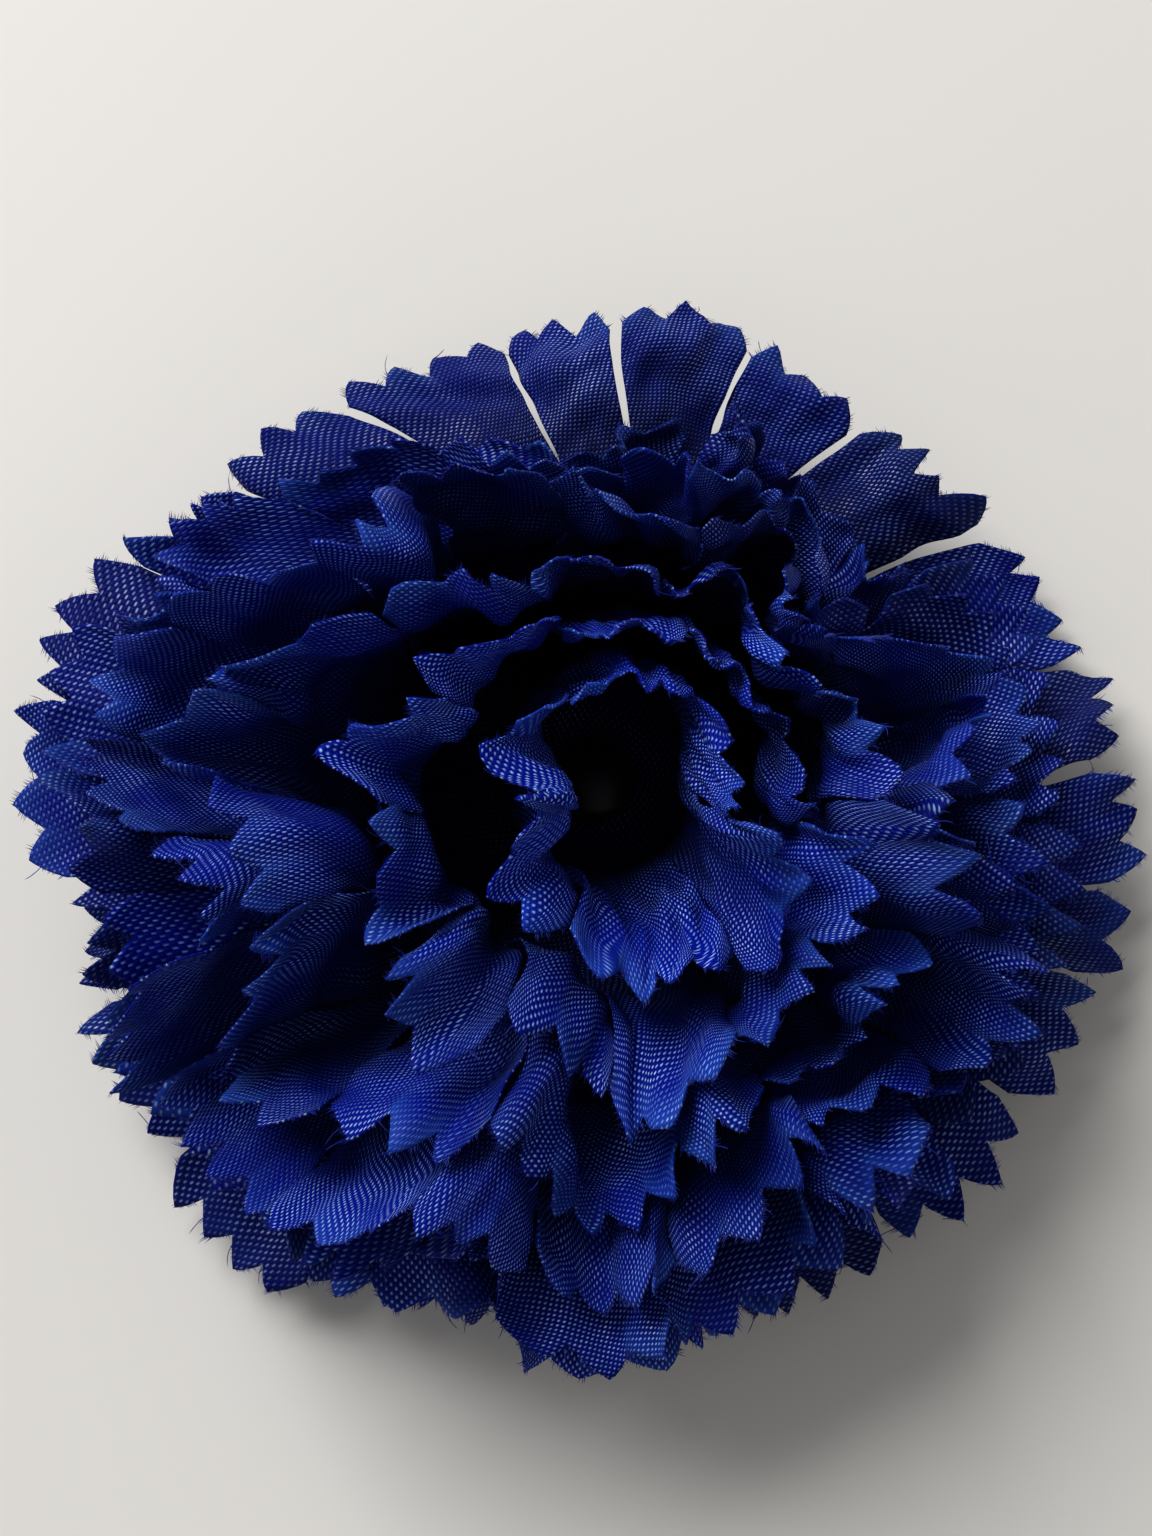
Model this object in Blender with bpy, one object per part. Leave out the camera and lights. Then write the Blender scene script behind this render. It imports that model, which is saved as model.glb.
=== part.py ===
"""A silk carnation head: seven die-cut cloth discs on a plastic pin, which stands in a plastic calyx.

Metres, +Z up. The origin is under the middle of the head, on the surface that it stands on.
"""

import math

import bpy
import numpy as np

MM = 0.001
DEG = math.radians(1.0)
TINY = 1e-9

# Cloth discs, listed from the flat one at the bottom to the upright one in the middle
DISC_RADIUS_MM = (46.5, 46.0, 45.5, 45.0, 42.0, 38.0, 33.0)
DISC_PETALS = (22, 20, 20, 20, 17, 11, 6)
DISC_WAVES = (9, 13, 12, 11, 9, 7, 4)
DISC_WAVE_SHARE = (0.5, 0.9, 1.0, 1.0, 1.0, 0.85, 0.6)
DISC_SEEDS = (41, 45, 45, 48, 45, 43, 44)
DISC_ROWS = (5, 6, 7, 8, 8, 9, 10)
PETAL_WILD = (0.06, 0.12, 0.12, 0.10, 0.08, 0.08, 0.08)
DISCS = len(DISC_RADIUS_MM)
RING_COLUMNS = 18

# Section of each disc: flat at the hub, then a round bend upward, then straight, then flared at the rim
BEND_AT_MM = (14.0, 14.5, 13.0, 12.5, 10.8, 8.2, 4.6)
BEND_RADIUS_MM = (80.0, 60.0, 40.0, 24.0, 14.5, 8.6, 3.6)
RISE_DEG = (3.0, 24.0, 42.0, 62.0, 78.0, 87.0, 90.0)
FLARE_DEG = (8.0, 25.0, 45.0, 60.0, 65.0, 60.0, 45.0)
SMALLEST_BEND_AT = 2.0 * MM
SMALLEST_BEND_RADIUS = 1.5 * MM
RISE_RANGE_DEG = (-40.0, 92.0)
LARGEST_FLARE_DEG = 60.0
FLARE_LENGTH = 14.0 * MM
FLARE_MEAN = 0.55
FLARE_SWING = 0.45
FLARE_SIDE = -15.0 * DEG
DROOP = 8.0 * DEG
DROOP_FROM = 12.0 * MM
DROOP_LENGTH = 14.0 * MM
SECTION_SAMPLES = 400
BEND_WORTH = 16.0 * MM
HUB_WORTH = 0.35

# Stack at the middle: calyx, discs and pin
CLOTH = 0.6 * MM
SEAT_GAP = 0.3 * MM
STACK_STEP = CLOTH + SEAT_GAP
CALYX_HEIGHT = 11.0 * MM
BOTTOM_HUB_Z = CALYX_HEIGHT + SEAT_GAP + CLOTH / 2
PIN_RADIUS = 1.6 * MM
HOLE_RADIUS = PIN_RADIUS + SEAT_GAP
PIN_HEAD_RADIUS = 3.4 * MM
PIN_HEAD_HEIGHT = 1.7 * MM
PIN_TIP_BEVEL = 0.5 * MM
PIN_BRIM_SHARE = 0.3
PIN_DOME_TURN = 75.0 * DEG
PIN_DOME_RINGS = 5
PIN_SIDES = 24
PIN_HOLE_FLOOR = 6.0 * MM
STEM_HOLE_DEPTH = 4.9 * MM
STEM_HOLE_RADIUS = 1.6 * MM
CALYX_SIDES = 30
SEPALS = 5
FOOT_RADIUS = 7.0 * MM
FOOT_BEVEL = 0.5 * MM
WAIST_RADIUS = 6.0 * MM
WAIST_Z = 3.0 * MM
BELLY_RADIUS = 7.2 * MM
BELLY_Z = 7.5 * MM
SEPAL_RADIUS = 9.6 * MM
SEPAL_SCALLOP = 1.3 * MM
SEPAL_THICKNESS = 0.9 * MM
SEPAL_TOP_Z = CALYX_HEIGHT - 1.1 * MM
NECK_RADIUS = 4.0 * MM

# Petals: slits, pinked teeth and the small differences between one petal and the next
SEEN_SLITS_DEG = (-40.0, -20.6, -7.0, 6.5, 19.9, 36.5, 54.0, 68.5, 87.0, 103.0, 122.0, 139.0, 154.0)
SEEN_PETALS = slice(6, 12)
SEEN_LONGER = 1.3 * MM
SLIT_ROOT_SHARE = 0.40
SLIT_GAP = 0.8 * MM
WIDTH_SPREAD = 0.15
TOOTH_PITCH = 4.2 * MM
TOOTH_DEPTH = 2.2 * MM
FEWEST_TEETH = 2
MOST_TEETH = 4
CORNER_DROP = 0.8 * MM
LENGTH_SPREAD = 1.2 * MM
MOST_CURL = 0.5
CURL_FROM = 0.6
PETAL_GROWTH = 1.2
FURTHEST_OUT = 1.1
TILT_TO_CUP = 1.5
RIM_SAMPLES = 721
PETAL_SAMPLES = 30
SLITS_EVEN_AT = 0.9
TEETH_COUNTED_AT = 0.95

# Waves of each disc, in steps between one disc and the next
WAVE_LOW = 0.3
WAVE_HIGH = 1.5
WAVE_GROWTH = 2.2
VALLEY_PINCH = 1.4
SWING = 0.45
OVERHANG = 0.2
SWAY_GROWTH = 1.5
UNEVEN_WAVES = 0.15
UNEVEN_SIDES = 4
DRIFTS = ((2, 0.050), (3, 0.042), (5, 0.025))
HUB_MARGIN = 0.47 * MM
RIM_MARGIN = 0.5 * MM
INNER_MARGIN = 0.15 * MM
MARGIN_FULL_AT = 0.5
INNER_FROM = 4
TOP_ROOM = 0.55

# Bends that all the discs share: (waves, steps, twist from disc to disc, start)
SHARED_WAVES = ((7, 0.75, 0.30, 0.55), (9, 0.34, -0.40, 1.7), (3, 0.3, 0.4, 4.0))
SHARED_FROM = 10.0 * MM
SHARED_LENGTH = 26.0 * MM
SHARED_FULL_LEVEL = 2.8
SHARED_FADE = 0.9
SHARED_FADE_FROM = 3.5
SHARED_FADE_OVER = 2.5
FREE_FROM = 7.0 * MM
FREE_LENGTH = 16.0 * MM
OPEN_SIDE = 84.0 * DEG
OPEN_WIDTH = 48.0 * DEG
OPEN_SHIFT = 1.5
OPEN_PULL = 0.36
OPEN_CALM = 0.85
OPEN_FULL_LEVEL = 0.9
OPEN_FADE_FROM = 0.5
OPEN_FADE_OVER = 6.5
OPEN_STEADY = 0.6
STILL_RADIUS = 9.0 * MM
SQUEEZE = 0.35
SQUEEZE_SIDE = 5.0 * DEG
SQUEEZE_FROM = 4.4
SQUEEZE_OVER = 2.0
LEAN = (0.10, -0.20)
WARPS_MM = ((70.0, 2.4), (42.0, 2.0), (26.0, 1.0))
WARPS_EACH = 3
WARP_SEED = 141
WARP_FREE = 9.0 * MM
WARP_LENGTH = 22.0 * MM
TABLE_CLEAR = CLOTH / 2 + 0.05 * MM
TABLE_SOFT = 1.2 * MM

# Finishes: base colour and roughness
CLOTH_BLUE = (0.010, 0.030, 0.300)
CLOTH_ROUGHNESS = 0.6
CALYX_GREEN = (0.050, 0.160, 0.045)
CALYX_ROUGHNESS = 0.5
PIN_DARK = (0.012, 0.014, 0.040)
PIN_ROUGHNESS = 0.4
SHARP_FROM = 40.0 * DEG


def smooth(x):
    """0 below 0, 1 above 1, and an even S between."""
    x = np.clip(x, 0.0, 1.0)
    return x * x * (3.0 - 2.0 * x)


def soft_limit(x):
    """x while it is small, and never past 1 or -1."""
    return x / (1.0 + np.abs(x) ** 4) ** 0.25


def by_level(values, level):
    """The value at a level between discs, carried on evenly past the first disc and the last."""
    values = np.array(values, dtype=float)
    first = 2 * values[0] - values[1]
    step = values[-1] - values[-2]
    padded = np.concatenate([[first], values, [values[-1] + step, values[-1] + 2 * step]])
    return np.interp(level, np.arange(-1, DISCS + 2), padded)


def leaf(level, reach, flared=1.0):
    """Radius and height of a sheet that is level steps above the bottom one, at distance reach along it."""
    bend_at = np.maximum(by_level(BEND_AT_MM, level) * MM, SMALLEST_BEND_AT)
    radius = np.maximum(by_level(BEND_RADIUS_MM, level) * MM, SMALLEST_BEND_RADIUS)
    rise = np.clip(by_level(RISE_DEG, level), *RISE_RANGE_DEG) * DEG
    flare = np.clip(by_level(FLARE_DEG, level), 0.0, LARGEST_FLARE_DEG) * DEG * flared
    rim = by_level(DISC_RADIUS_MM, level) * MM
    steep = np.abs(rise) + TINY
    past = np.maximum(reach - bend_at, 0.0)
    turned = np.minimum(past / radius, steep)
    after = past - turned * radius
    tail = np.minimum(np.maximum(reach - (rim - FLARE_LENGTH), 0.0), np.maximum(after, 0.0))
    straight = after - tail
    r = np.minimum(reach, bend_at) + radius * np.sin(turned) + straight * np.cos(steep)
    z = np.sign(rise) * (radius * (1 - np.cos(turned)) + straight * np.sin(steep))
    bent = flare * tail / FLARE_LENGTH + TINY
    signed = np.sign(rise) * steep
    r = r + tail / bent * (np.sin(signed) - np.sin(signed - bent))
    z = z + tail / bent * (np.cos(signed - bent) - np.cos(signed))
    fall = np.maximum(reach - DROOP_FROM, 0.0)
    early = DROOP / DROOP_LENGTH * fall ** 2 / 2
    late = DROOP * (fall - DROOP_LENGTH / 2)
    return r, BOTTOM_HUB_Z + level * STACK_STEP + z - np.where(fall < DROOP_LENGTH, early, late)


class Spacing:
    """Distance between neighbouring sheets, kept as a table over level and reach."""

    STEP = 0.4
    LEVELS = 33
    REACHES = 120
    FURTHEST = 52.0 * MM
    BESIDE = 400
    BESIDE_RANGE = (1.0 * MM, 56.0 * MM)
    INSIDE = 1.001

    def __init__(self):
        self.levels = np.linspace(-0.5, DISCS + 0.5, self.LEVELS)
        self.reaches = np.linspace(HOLE_RADIUS, self.FURTHEST, self.REACHES)
        other = np.linspace(*self.BESIDE_RANGE, self.BESIDE)
        rows = []
        for level in self.levels:
            r, z = leaf(level, self.reaches)
            apart = []
            for beside in (level - self.STEP, level + self.STEP):
                beside_r, beside_z = leaf(beside, other)
                square = np.hypot(r[:, None] - beside_r, z[:, None] - beside_z)
                apart.append(square.min(axis=1) / self.STEP)
            rows.append(np.minimum(*apart))
        self.table = np.array(rows)

    def __call__(self, level, reach):
        x = (level - self.levels[0]) / (self.levels[1] - self.levels[0])
        y = (reach - self.reaches[0]) / (self.reaches[1] - self.reaches[0])
        x = np.clip(x, 0.0, len(self.levels) - self.INSIDE)
        y = np.clip(y, 0.0, len(self.reaches) - self.INSIDE)
        i = x.astype(int)
        j = y.astype(int)
        near = self.table[i, j] * (1 - y + j) + self.table[i, j + 1] * (y - j)
        far = self.table[i + 1, j] * (1 - y + j) + self.table[i + 1, j + 1] * (y - j)
        return near * (1 - x + i) + far * (x - i)


SPACING = Spacing()


def opening(turn):
    """1 at the side where the bottom disc lies bare, 0 elsewhere."""
    away = (turn - OPEN_SIDE + math.pi) % (2 * math.pi) - math.pi
    return np.exp(-(away / OPEN_WIDTH) ** 4)


def raised(turn, level, reach):
    """The level that a sheet has after the bends that all of them share."""
    free = smooth((reach - FREE_FROM) / FREE_LENGTH)
    fading = 1 - smooth((level - OPEN_FADE_FROM) / OPEN_FADE_OVER)
    lift = OPEN_SHIFT * opening(turn) * smooth(level / OPEN_FULL_LEVEL) * fading
    level = level + free * lift
    for waves, size, twist, begin in SHARED_WAVES:
        wide = smooth((reach - SHARED_FROM) / SHARED_LENGTH) * smooth(level / SHARED_FULL_LEVEL)
        wide = wide * (1 - SHARED_FADE * smooth((level - SHARED_FADE_FROM) / SHARED_FADE_OVER))
        wide = wide * (1 - OPEN_STEADY * opening(turn))
        level = level + size * wide * np.cos(waves * turn + twist * level + begin)
    squeeze = SQUEEZE * np.cos(2 * (turn - SQUEEZE_SIDE)) * smooth((level - SQUEEZE_FROM) / SQUEEZE_OVER)
    return level + free * squeeze


def warped(points):
    """Bends the whole head a little, as handling has bent it, with steps too gentle to fold it over."""
    hub = np.array([0.0, 0.0, BOTTOM_HUB_Z + DISCS // 2 * STACK_STEP])
    away = np.linalg.norm(points - hub, axis=-1, keepdims=True)
    fade = smooth((away - WARP_FREE) / WARP_LENGTH)
    moved = points.copy()
    high = np.maximum(points[..., 2] - BOTTOM_HUB_Z, 0.0) * fade[..., 0]
    moved[..., 0] += LEAN[0] * high
    moved[..., 1] += LEAN[1] * high
    draw = np.random.default_rng(WARP_SEED)
    for length, size in WARPS_MM:
        for _ in range(WARPS_EACH):
            along = draw.normal(size=3)
            along *= 2 * math.pi / (length * MM) / np.linalg.norm(along)
            push = draw.normal(size=3)
            push *= size * MM / np.linalg.norm(push)
            wave = np.sin(moved @ along + draw.uniform(0, 2 * math.pi))
            moved = moved + fade * push * wave[..., None]
    height = moved[..., 2] - TABLE_CLEAR
    lying = TABLE_SOFT * np.exp(np.minimum(height / TABLE_SOFT - 1.0, 0.0))
    moved[..., 2] = TABLE_CLEAR + np.where(height > TABLE_SOFT, height, lying)
    return moved


class Disc:
    """One cloth disc: where its slits and teeth are, and the shape that it is bent to."""

    def __init__(self, number):
        self.number = number
        self.radius = DISC_RADIUS_MM[number] * MM
        self.petals = DISC_PETALS[number]
        self.waves = DISC_WAVES[number]
        self.slit_root = SLIT_ROOT_SHARE * self.radius
        draw = np.random.default_rng(DISC_SEEDS[number])
        self.start = draw.uniform(0, 2 * math.pi, 6)
        self.edges = self.slits(draw)
        wild = PETAL_WILD[number]
        self.cup = draw.normal(0.0, wild, self.petals)
        self.tilt = draw.normal(0.0, TILT_TO_CUP * wild, self.petals)
        self.curl = draw.uniform(0.0, MOST_CURL, self.petals)
        self.longer = draw.normal(0.0, LENGTH_SPREAD, self.petals)
        if number == 0:
            self.longer[SEEN_PETALS] += SEEN_LONGER
        self.teeth = self.tooth_counts()

    def slits(self, draw):
        """Azimuths of the slits: even along the waved rim, or where they show on the bottom disc."""
        if self.number == 0:
            unseen = self.petals - len(SEEN_SLITS_DEG) + 1
            rest = np.linspace(SEEN_SLITS_DEG[-1], 360.0 + SEEN_SLITS_DEG[0], unseen + 1)
            return np.concatenate([SEEN_SLITS_DEG, rest[1:]]) * DEG
        turn = np.linspace(0, 2 * math.pi, RIM_SAMPLES)
        rim = self.place(turn, np.full_like(turn, SLITS_EVEN_AT * self.radius), 0.0)
        steps = np.linalg.norm(np.diff(rim, axis=0), axis=1)
        length = np.concatenate([[0.0], np.cumsum(steps)])
        widths = draw.uniform(1 - WIDTH_SPREAD, 1 + WIDTH_SPREAD, self.petals)
        share = np.concatenate([[0.0], np.cumsum(widths)]) / widths.sum()
        return np.interp(share * length[-1], length, turn)

    def tooth_counts(self):
        counts = []
        for left, right in zip(self.edges, self.edges[1:]):
            turn = np.linspace(left, right, PETAL_SAMPLES)
            rim = self.place(turn, np.full_like(turn, TEETH_COUNTED_AT * self.radius), 0.0)
            width = np.linalg.norm(np.diff(rim, axis=0), axis=1).sum()
            counts.append(int(np.clip(round(width / TOOTH_PITCH), FEWEST_TEETH, MOST_TEETH)))
        return counts

    def phase(self, turn):
        drift = sum(size * np.sin(order * turn + self.start[k]) for k, (order, size) in enumerate(DRIFTS))
        return self.waves * (turn + drift) + self.start[3]

    def place(self, turn, reach, extra):
        """Points of the middle of the cloth; extra is a petal's own lift, in steps between discs."""
        share = reach / self.radius
        uneven = UNEVEN_WAVES * (np.cos(UNEVEN_SIDES * turn + self.start[4]) - 1)
        size = DISC_WAVE_SHARE[self.number] * (1 + uneven)
        if self.number == 0:
            size = size * (1 - OPEN_CALM * opening(turn))
        phase = self.phase(turn)
        wave = size * (2 * ((1 + np.cos(phase)) / 2) ** VALLEY_PINCH - 1)
        grow = WAVE_LOW * share + WAVE_HIGH * share ** WAVE_GROWTH
        middle = raised(turn, self.number + 0.0, reach)
        above = raised(turn, self.number + 0.5, reach) - middle
        below = middle - raised(turn, self.number - 0.5, reach)
        if self.number == DISCS - 1:
            above = above * TOP_ROOM
        rim_margin = RIM_MARGIN + max(self.number - INNER_FROM, 0) * INNER_MARGIN
        margin = HUB_MARGIN + rim_margin * smooth(share / MARGIN_FULL_AT)
        margin = margin / (1 - OPEN_PULL * opening(turn))
        push = soft_limit(wave * grow + 2 * extra)
        room = np.where(push > 0, above, below) - margin / SPACING(middle, reach)
        level = middle + np.maximum(room, 0.0) * push
        r, z = leaf(level, reach, FLARE_MEAN - FLARE_SWING * np.sin(turn - FLARE_SIDE))
        pull = 1 - OPEN_PULL * opening(turn) * smooth(level)
        r = np.minimum(r, STILL_RADIUS) + np.maximum(r - STILL_RADIUS, 0.0) * pull
        side = np.cos(2 * turn + self.start[5])
        sway = SWING * np.sin(phase) + OVERHANG * side * (1 - np.cos(phase))
        azimuth = turn - share ** SWAY_GROWTH * size * sway / self.waves
        return warped(np.stack([r * np.cos(azimuth), r * np.sin(azimuth), z], axis=-1))

    def slit_turn(self, edge, reach, out):
        """Half the slit's opening at one of its edges, as an angle."""
        girth, _ = leaf(self.number + 0.0, reach)
        crowd = 1 - SWING * np.cos(self.phase(edge)) * (reach / self.radius) ** SWAY_GROWTH
        return SLIT_GAP / 2 / girth * np.sqrt(out) / crowd

    def petal_points(self, petal, across, reach):
        """Points of one petal; across is 0 at one slit and 1 at the next."""
        out = np.clip((reach - self.slit_root) / (self.radius - self.slit_root), 0.0, FURTHEST_OUT)
        left = self.edges[petal]
        right = self.edges[petal + 1]
        first = left + self.slit_turn(left, reach, out)
        last = right - self.slit_turn(right, reach, out)
        side = 2 * across - 1
        extra = (self.cup[petal] * (0.5 - side ** 2) + self.tilt[petal] * side) * out ** PETAL_GROWTH
        extra = extra - self.curl[petal] * (np.maximum(out - CURL_FROM, 0.0) / (1 - CURL_FROM)) ** 2
        turn = first + across * (last - first)
        if self.number == 0:
            extra = extra * (1 - OPEN_CALM * opening(turn))
        return self.place(turn, reach, extra)

    def rim(self, petal, across):
        """How far the pinked edge reaches: out at the tooth tips, in at the notches."""
        notch = np.abs((across * self.teeth[petal]) % 1.0 - 0.5) * 2
        corner = CORNER_DROP * np.abs(2 * across - 1) ** 3
        return self.radius + self.longer[petal] - corner - TOOTH_DEPTH * notch

    def normals(self, petal, across, reach):
        """Directions square to the cloth, upward at the hub."""
        aside = 0.02
        beyond = 0.25 * MM
        before = self.petal_points(petal, np.clip(across - aside, 0, 1), reach)
        after = self.petal_points(petal, np.clip(across + aside, 0, 1), reach)
        inner = self.petal_points(petal, across, reach - beyond)
        outer = self.petal_points(petal, across, reach + beyond)
        square = np.cross(outer - inner, after - before)
        return square / np.linalg.norm(square, axis=-1, keepdims=True)

    def row_reaches(self):
        """Distances of the rows of corners, closer together where the cloth bends; and the slits' row."""
        reach = np.linspace(HOLE_RADIUS, self.radius - TOOTH_DEPTH, SECTION_SAMPLES)
        r, z = leaf(float(self.number), reach)
        slope = np.unwrap(np.arctan2(np.gradient(z), np.gradient(r)))
        middle = reach[1:] / self.radius
        cost = np.abs(np.diff(slope)) * BEND_WORTH + np.diff(reach) * (HUB_WORTH + (1 - HUB_WORTH) * middle)
        total = np.concatenate([[0.0], np.cumsum(cost)])
        rows = np.interp(np.linspace(0, total[-1], DISC_ROWS[self.number] + 1), total, reach)
        root = int(np.argmin(np.abs(rows - self.slit_root)))
        rows[root] = self.slit_root
        return rows, root


class Sheet:
    """Corners and triangles of one disc's upper face, kept until both faces and the edges are joined."""

    def __init__(self, disc):
        self.disc = disc
        self.points = []
        self.squares = []
        self.triangles = []

    def row(self, petal, across, reach):
        across = np.asarray(across, dtype=float)
        reach = np.broadcast_to(np.asarray(reach, dtype=float), across.shape)
        first = len(self.points)
        self.points.extend(self.disc.petal_points(petal, across, reach))
        self.squares.extend(self.disc.normals(petal, across, reach))
        return list(range(first, first + len(across)))

    def stitch(self, lower, upper):
        """Fills between two rows, each given as its shares across and its corners."""
        lower_at, lower_ids = lower
        upper_at, upper_ids = upper
        i = 0
        j = 0
        while i < len(lower_ids) - 1 or j < len(upper_ids) - 1:
            low_next = lower_at[i + 1] if i < len(lower_ids) - 1 else 2.0
            high_next = upper_at[j + 1] if j < len(upper_ids) - 1 else 2.0
            if low_next <= high_next:
                self.triangles.append((lower_ids[i], upper_ids[j], lower_ids[i + 1]))
                i += 1
            else:
                self.triangles.append((lower_ids[i], upper_ids[j], upper_ids[j + 1]))
                j += 1

    def ring(self, rows, root):
        """The uncut middle, from the hole to the roots of the slits. Returns the hole and the outer row."""
        disc = self.disc
        per_petal = max(1, math.ceil(RING_COLUMNS / disc.petals))
        loops = []
        for k in range(root + 1):
            loop = []
            for petal in range(disc.petals):
                columns = per_petal if k < root else disc.teeth[petal]
                across = np.arange(columns) / columns
                loop.append((list(across), self.row(petal, across, rows[k])))
            loops.append([self.closed(loop, petal) for petal in range(disc.petals)])
        for low, high in zip(loops, loops[1:]):
            for lower, upper in zip(low, high):
                self.stitch(lower, upper)
        hole = [corner for _, ids in loops[0] for corner in ids[:-1]]
        return hole, loops[-1]

    @staticmethod
    def closed(loop, petal):
        """A petal's part of a loop, ended by the first corner of the next petal."""
        across, ids = loop[petal]
        following = loop[(petal + 1) % len(loop)][1][0]
        return across + [1.0], ids + [following]

    def petal(self, petal, root_row, reaches):
        """One petal from its root to its tooth tips. Returns its edge, from the left root to the right."""
        teeth = self.disc.teeth[petal]
        across = np.arange(teeth + 1) / teeth
        notches = self.disc.rim(petal, across)
        row = root_row
        left = [row[1][0]]
        right = [row[1][-1]]
        for reach in list(reaches) + [notches]:
            following = (list(across), self.row(petal, across, reach))
            self.stitch(row, following)
            row = following
            left.append(row[1][0])
            right.append(row[1][-1])
        middles = (np.arange(teeth) + 0.5) / teeth
        tips = self.row(petal, middles, self.disc.rim(petal, middles))
        edge = left
        for tooth, tip in enumerate(tips):
            self.triangles.append((row[1][tooth], tip, row[1][tooth + 1]))
            edge = edge + [tip, row[1][tooth + 1]]
        return edge + right[-2:0:-1]

    def solid(self, borders):
        """Corners and faces of the closed body: both faces of the cloth and the cut edges."""
        points = np.array(self.points)
        half = np.array(self.squares) * CLOTH / 2
        count = len(points)
        corners = np.concatenate([points + half, points - half])
        faces = []
        for a, b, c in self.triangles:
            faces.append((a, b, c))
            faces.append((a + count, c + count, b + count))
        for loop in borders:
            for a, b in zip(loop, loop[1:] + loop[:1]):
                faces.append((a, b + count, b))
                faces.append((a, a + count, b + count))
        return corners, faces


def disc_solid(number):
    disc = Disc(number)
    sheet = Sheet(disc)
    rows, root = disc.row_reaches()
    hole, root_rows = sheet.ring(rows, root)
    edge = []
    for petal in range(disc.petals):
        edge += sheet.petal(petal, root_rows[petal], rows[root + 1:-1])
    return sheet.solid([hole[::-1], edge])


def turned_solid(profile, sides, scallop=None):
    """Turns a profile of (radius, height) about the axis; it starts and ends on the axis."""
    corners = [(0.0, 0.0, profile[0][1])]
    faces = []
    rings = profile[1:-1]
    for r, z in rings:
        for k in range(sides):
            angle = 2 * math.pi * k / sides
            reach = r if scallop is None else scallop(r, angle)
            corners.append((reach * math.cos(angle), reach * math.sin(angle), z))
    corners.append((0.0, 0.0, profile[-1][1]))
    last = len(corners) - 1
    for k in range(sides):
        after = (k + 1) % sides
        faces.append((0, 1 + after, 1 + k))
        for ring in range(len(rings) - 1):
            low = 1 + ring * sides
            high = low + sides
            faces.append((low + k, low + after, high + after, high + k))
        top = 1 + (len(rings) - 1) * sides
        faces.append((top + k, top + after, last))
    return np.array(corners), faces


def sepal_edge(r, angle):
    """Draws the brim in between the sepals; radii inside the belly stay round."""
    outer = max(r - BELLY_RADIUS, 0.0) / (SEPAL_RADIUS - BELLY_RADIUS)
    return r + SEPAL_SCALLOP * outer * math.cos(SEPALS * angle)


def calyx_solid():
    profile = [
        (0.0, STEM_HOLE_DEPTH),
        (STEM_HOLE_RADIUS, STEM_HOLE_DEPTH),
        (STEM_HOLE_RADIUS, 0.0),
        (FOOT_RADIUS - FOOT_BEVEL, 0.0),
        (FOOT_RADIUS, FOOT_BEVEL),
        (WAIST_RADIUS, WAIST_Z),
        (BELLY_RADIUS, BELLY_Z),
        (SEPAL_RADIUS, SEPAL_TOP_Z - SEPAL_THICKNESS),
        (SEPAL_RADIUS, SEPAL_TOP_Z),
        (NECK_RADIUS, CALYX_HEIGHT),
        (HOLE_RADIUS, CALYX_HEIGHT),
        (HOLE_RADIUS, PIN_HOLE_FLOOR),
        (0.0, PIN_HOLE_FLOOR),
    ]
    return turned_solid(profile, CALYX_SIDES, sepal_edge)


def pin_solid():
    tip = PIN_HOLE_FLOOR + SEAT_GAP
    under = BOTTOM_HUB_Z + (DISCS - 1) * STACK_STEP + CLOTH / 2 + SEAT_GAP
    crown = PIN_HEAD_HEIGHT * (1 - PIN_BRIM_SHARE)
    brim = under + PIN_HEAD_HEIGHT * PIN_BRIM_SHARE
    dome = [(PIN_HEAD_RADIUS * math.cos(a), brim + crown * math.sin(a))
            for a in np.linspace(0, PIN_DOME_TURN, PIN_DOME_RINGS)]
    profile = [
        (0.0, tip),
        (PIN_RADIUS - PIN_TIP_BEVEL, tip),
        (PIN_RADIUS, tip + PIN_TIP_BEVEL),
        (PIN_RADIUS, under),
        (PIN_HEAD_RADIUS, under),
        *dome,
        (0.0, under + PIN_HEAD_HEIGHT),
    ]
    return turned_solid(profile, PIN_SIDES)


def material(name, color, roughness):
    made = bpy.data.materials.new(name)
    made.use_nodes = True
    shader = made.node_tree.nodes["Principled BSDF"]
    shader.inputs["Base Color"].default_value = (*color, 1.0)
    shader.inputs["Roughness"].default_value = roughness
    return made


def add_object(name, corners, faces, look):
    mesh = bpy.data.meshes.new(name)
    mesh.from_pydata(corners.tolist(), [], faces)
    mesh.materials.append(look)
    mesh.update()
    made = bpy.data.objects.new(name, mesh)
    bpy.context.scene.collection.objects.link(made)
    return made


def smooth_round(made, limit):
    """Shades the round faces smooth and keeps the edges that turn more than limit."""
    bpy.ops.object.select_all(action="DESELECT")
    made.select_set(True)
    bpy.context.view_layer.objects.active = made
    bpy.ops.object.shade_smooth_by_angle(angle=limit)


def build():
    for leftover in list(bpy.data.objects):
        bpy.data.objects.remove(leftover, do_unlink=True)
    cloth = material("cloth", CLOTH_BLUE, CLOTH_ROUGHNESS)
    green = material("calyx_plastic", CALYX_GREEN, CALYX_ROUGHNESS)
    dark = material("pin_plastic", PIN_DARK, PIN_ROUGHNESS)
    solids = {f"petal_layer_{k + 1}": (*disc_solid(k), cloth) for k in range(DISCS)}
    solids["calyx"] = (*calyx_solid(), green)
    solids["center_pin"] = (*pin_solid(), dark)
    every = np.concatenate([corners for corners, _, _ in solids.values()])
    middle = (every.min(axis=0) + every.max(axis=0)) / 2
    shift = np.array([middle[0], middle[1], 0.0])
    for name, (corners, faces, look) in solids.items():
        smooth_round(add_object(name, corners - shift, faces, look), SHARP_FROM)


build()
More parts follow.
